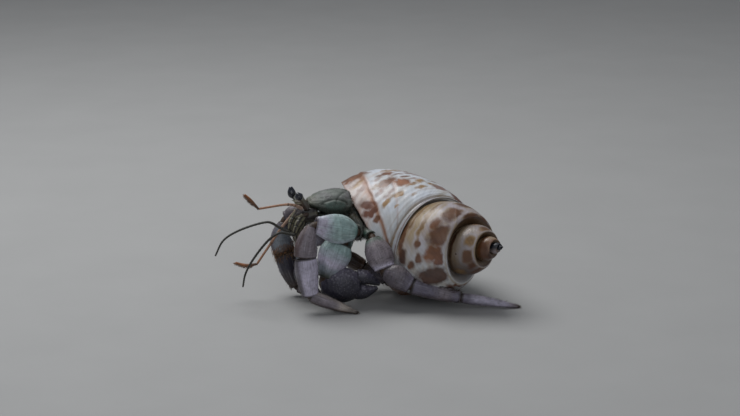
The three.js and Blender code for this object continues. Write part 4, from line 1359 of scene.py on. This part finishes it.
# bristles: one is modelled, then copied to each root and joined
def makeBristle():
    clearSelection()
    bpy.ops.mesh.primitive_circle_add(vertices=3, radius=1, fill_type="NGON", location=(0, 0, 0))
    bristle = bpy.context.object
    bpy.ops.object.mode_set(mode="EDIT")
    bpy.ops.mesh.select_all(action="SELECT")
    height = 0.0
    for rise, share in ((0.35, 0.9), (0.35, 0.72), (0.3, 0.12)):
        height += rise
        bpy.ops.mesh.extrude_region_move(TRANSFORM_OT_translate={"value": (0, 0, rise)})
        bpy.ops.transform.resize(value=(share, share, 1), center_override=(0, 0, height))
    bpy.ops.object.mode_set(mode="OBJECT")
    faceOutwards()
    points = [v.co.copy() for v in bristle.data.vertices]
    faces = [tuple(f.vertices) for f in bristle.data.polygons]
    bpy.data.objects.remove(bristle)
    return points, faces


bristlePoints, bristleFaces = makeBristle()


def rootsOn(piece, count, where):      # surface points taken by where(u, v, p, n), 0..1
    vertices, places = piece.data.vertices, surfacePlaces(piece)
    roots = []
    for _ in range(count * 80):
        k = random.randrange(len(vertices))
        if places[k] is None:
            continue
        u, v = places[k]
        if random.random() < where(u, v, vertices[k].co / mm, vertices[k].normal):
            roots.append((vertices[k].co.copy(), vertices[k].normal.copy(), (u, v)))
            if len(roots) == count:
                break
    return roots


def bristleBed(name, count, length, rise, shades, where, **more):
    # shades: two hues of the roots, which are mixed, and that of the tips; where: as in rootsOn
    usual = {"lie": pieces[name].get("axis"), "shake": 0.25, "thick": 0.035, "curl": 0.35}
    return {**usual, "on": pieces[name], "count": count, "length": length, "rise": rise,
            "shades": [hues[shade] for shade in shades], "where": where, **more}


def growBristles(name, slot, beds):
    points, faces, uvs, tints = [], [], [], []
    for tile, bed in enumerate(beds):
        lie, rise = Vector(bed["lie"]).normalized(), bed["rise"]
        for root, normal, (u, v) in rootsOn(bed["on"], bed["count"], bed["where"]):
            shake = Vector(random.uniform(-1, 1) for _ in range(3)) * bed["shake"]
            start = (normal * rise + lie * (1 - rise) + shake).normalized()
            bend = (lie + shake - start * start.dot(lie + shake))
            side = start.cross(bend).normalized()
            front = side.cross(start)
            long = random.uniform(*bed["length"]) * mm
            thick = bed["thick"] * mm
            shade = mix(*bed["shades"][:2], random.random())
            first = len(points)
            for p in bristlePoints:
                curl = bed["curl"] * p.z ** 2 * long
                place = (root - normal * 0.03 * mm + front * (p.x * thick + curl) + side * p.y * thick
                         + start * p.z * long * (1 - 0.12 * p.z))
                place.z = max(place.z, 0.02 * mm)
                points.append(place)
                tints.append(mix(shade, bed["shades"][2], p.z * 0.6))
            # each bed has a tile of the map, and each bristle a speck at its root's place in it
            corner = Vector(((tile % 8 + 0.06 + 0.88 * u) / 8, (tile // 8 + 0.06 + 0.88 * v) / 8))
            for face in bristleFaces:
                faces.append([first + k for k in face])
                for p in (bristlePoints[k] for k in face):
                    uvs.append(corner + Vector((p.x, p.z - 0.5)) * 0.0015)
    mesh = bpy.data.meshes.new(name)
    mesh.from_pydata(points, [], faces)
    layer = mesh.uv_layers.new(name="OFBake")
    for place, uv in zip(layer.data, uvs):
        place.uv = uv
    tint = mesh.color_attributes.new("tint", "FLOAT_COLOR", "POINT")
    for place, colour in zip(tint.data, tints):
        place.color = (*colour, 1)
    bristles = bpy.data.objects.new(name, mesh)
    bpy.context.collection.objects.link(bristles)
    finish(bristles, hairMaterial, slot)
    return bristles


def even(chance):
    return lambda u, v, p, n: chance


def onEdges(u, v, p, n):
    return (0.12 + aroundBell(v, 0.5, 0.10) + aroundBell(v, 0.0, 0.08)) * step(0.0, 0.3, u + 0.1)


def onTop(u, v, p, n):
    return step(0.5, 0.95, n.z)


def between(low, high):                # from none at low to all at high
    return lambda u, v, p, n: step(low, high, u)


def onClaw(u, v, p, n):
    return 0.25 + 0.75 * step(0.2, 0.9, abs(n.z))


def onBelly(u, v, p, n):
    return step(2.5, -1.5, p[0]) * step(0.3, -0.4, n.y)


def onShield(u, v, p, n):
    return 0.05 + step(0.72, 0.95, u) + aroundBell(v, 0.02, 0.05) + aroundBell(v, 0.48, 0.05)


def onMouthpart(u, v, p, n):
    return 0.2 + 0.8 * step(0.3, 0.9, u)


def onClub(u, v, p, n):
    return step(0.08, 0.3, u) * step(0.2, -0.3, n.z)


legBristles = {"merus": (45, (0.2, 0.5)), "carpus": (60, (0.25, 0.6)),
               "propodus": (120, (0.35, 0.9)), "dactyl": (150, (0.3, 0.7))}
clawBristles = {"palm": 260, "dactyl": 90, "carpus": 70, "merus": 50}
softHair = ("darkOlive", "black", "shield")
mouthHair = ("brown", "olive", "sand")


def makeBristles():
    random.seed(5)
    beds = [bristleBed(f"{leg}_{segment}", count, length, 0.55, ("brown", "darkBrown", "sand"), onEdges)
            for leg in legs for segment, (count, length) in legBristles.items()]
    beds.append(bristleBed("leg3_left_propodus", 200, (0.6, 1.4), 0.65, ("umber", "black", "umber"), onTop,
                           thick=0.045))
    for segment, low, high in (("carpus", 0.60, 0.8), ("propodus", 0.22, 0.06)):
        beds.append(bristleBed("leg2_right_" + segment, 420, (0.7, 1.5), 0.45,
                               ("orange", "brown", "paleOlive"), between(low, high), thick=0.05, curl=0.2))
    growBristles("leg_bristles", "leg", beds)

    beds = [bristleBed(f"claw_{side}_{segment}", count, (0.15, 0.45), 0.6,
                       ("darkBrown", "brown", "sand"), onClaw)
            for side in claws for segment, count in clawBristles.items()]
    growBristles("claw_bristles", "claw", beds)

    beds = [
        bristleBed("body", 1500, (0.6, 1.6), 0.35, softHair, onBelly, lie=(0.35, -0.2, -0.9),
                   thick=0.045, shake=0.4),
        *(bristleBed("leg4_" + side, count, (0.5, 1.3), 0.5, ("darkOlive", "black", "olive"), even(1.0),
                     shake=0.4) for side, count in (("left", 260), ("right", 200))),
        *(bristleBed(leg + "_left_ischium", 160, (0.5, 1.2), 0.45, softHair, even(1.0), shake=0.4)
          for leg in ("leg2", "leg3")),
        bristleBed("shield", 420, (0.25, 0.7), 0.4, ("umber", "darkOlive", "sand"), onShield),
        bristleBed("head", 260, (0.3, 0.9), 0.4, ("brown", "darkBrown", "paleOlive"), even(0.6),
                   lie=(-0.8, -0.2, -0.5)),
    ]
    for side in claws:
        beds.append(bristleBed("maxilliped_" + side, 220, (0.5, 1.3), 0.4, mouthHair, onMouthpart,
                               shake=0.35))
        beds.append(bristleBed(f"antenna_{side}_base", 90, (0.3, 0.8), 0.35, mouthHair, even(0.5)))
    growBristles("trunk_hair", "trunk", beds)

    beds = []
    for side in claws:
        beds.append(bristleBed(f"antennule_{side}_tip", 420, (0.35, 0.75), 0.75,
                               ("orange", "brown", "sand"), onClub, thick=0.03, shake=0.15))
        beds.append(bristleBed("antennule_" + side, 40, (0.15, 0.35), 0.4, ("brown",) * 3, even(0.5)))
    growBristles("antennule_fringe", "antennule", beds)


makeBristles()
print("bristles made")


print("done")
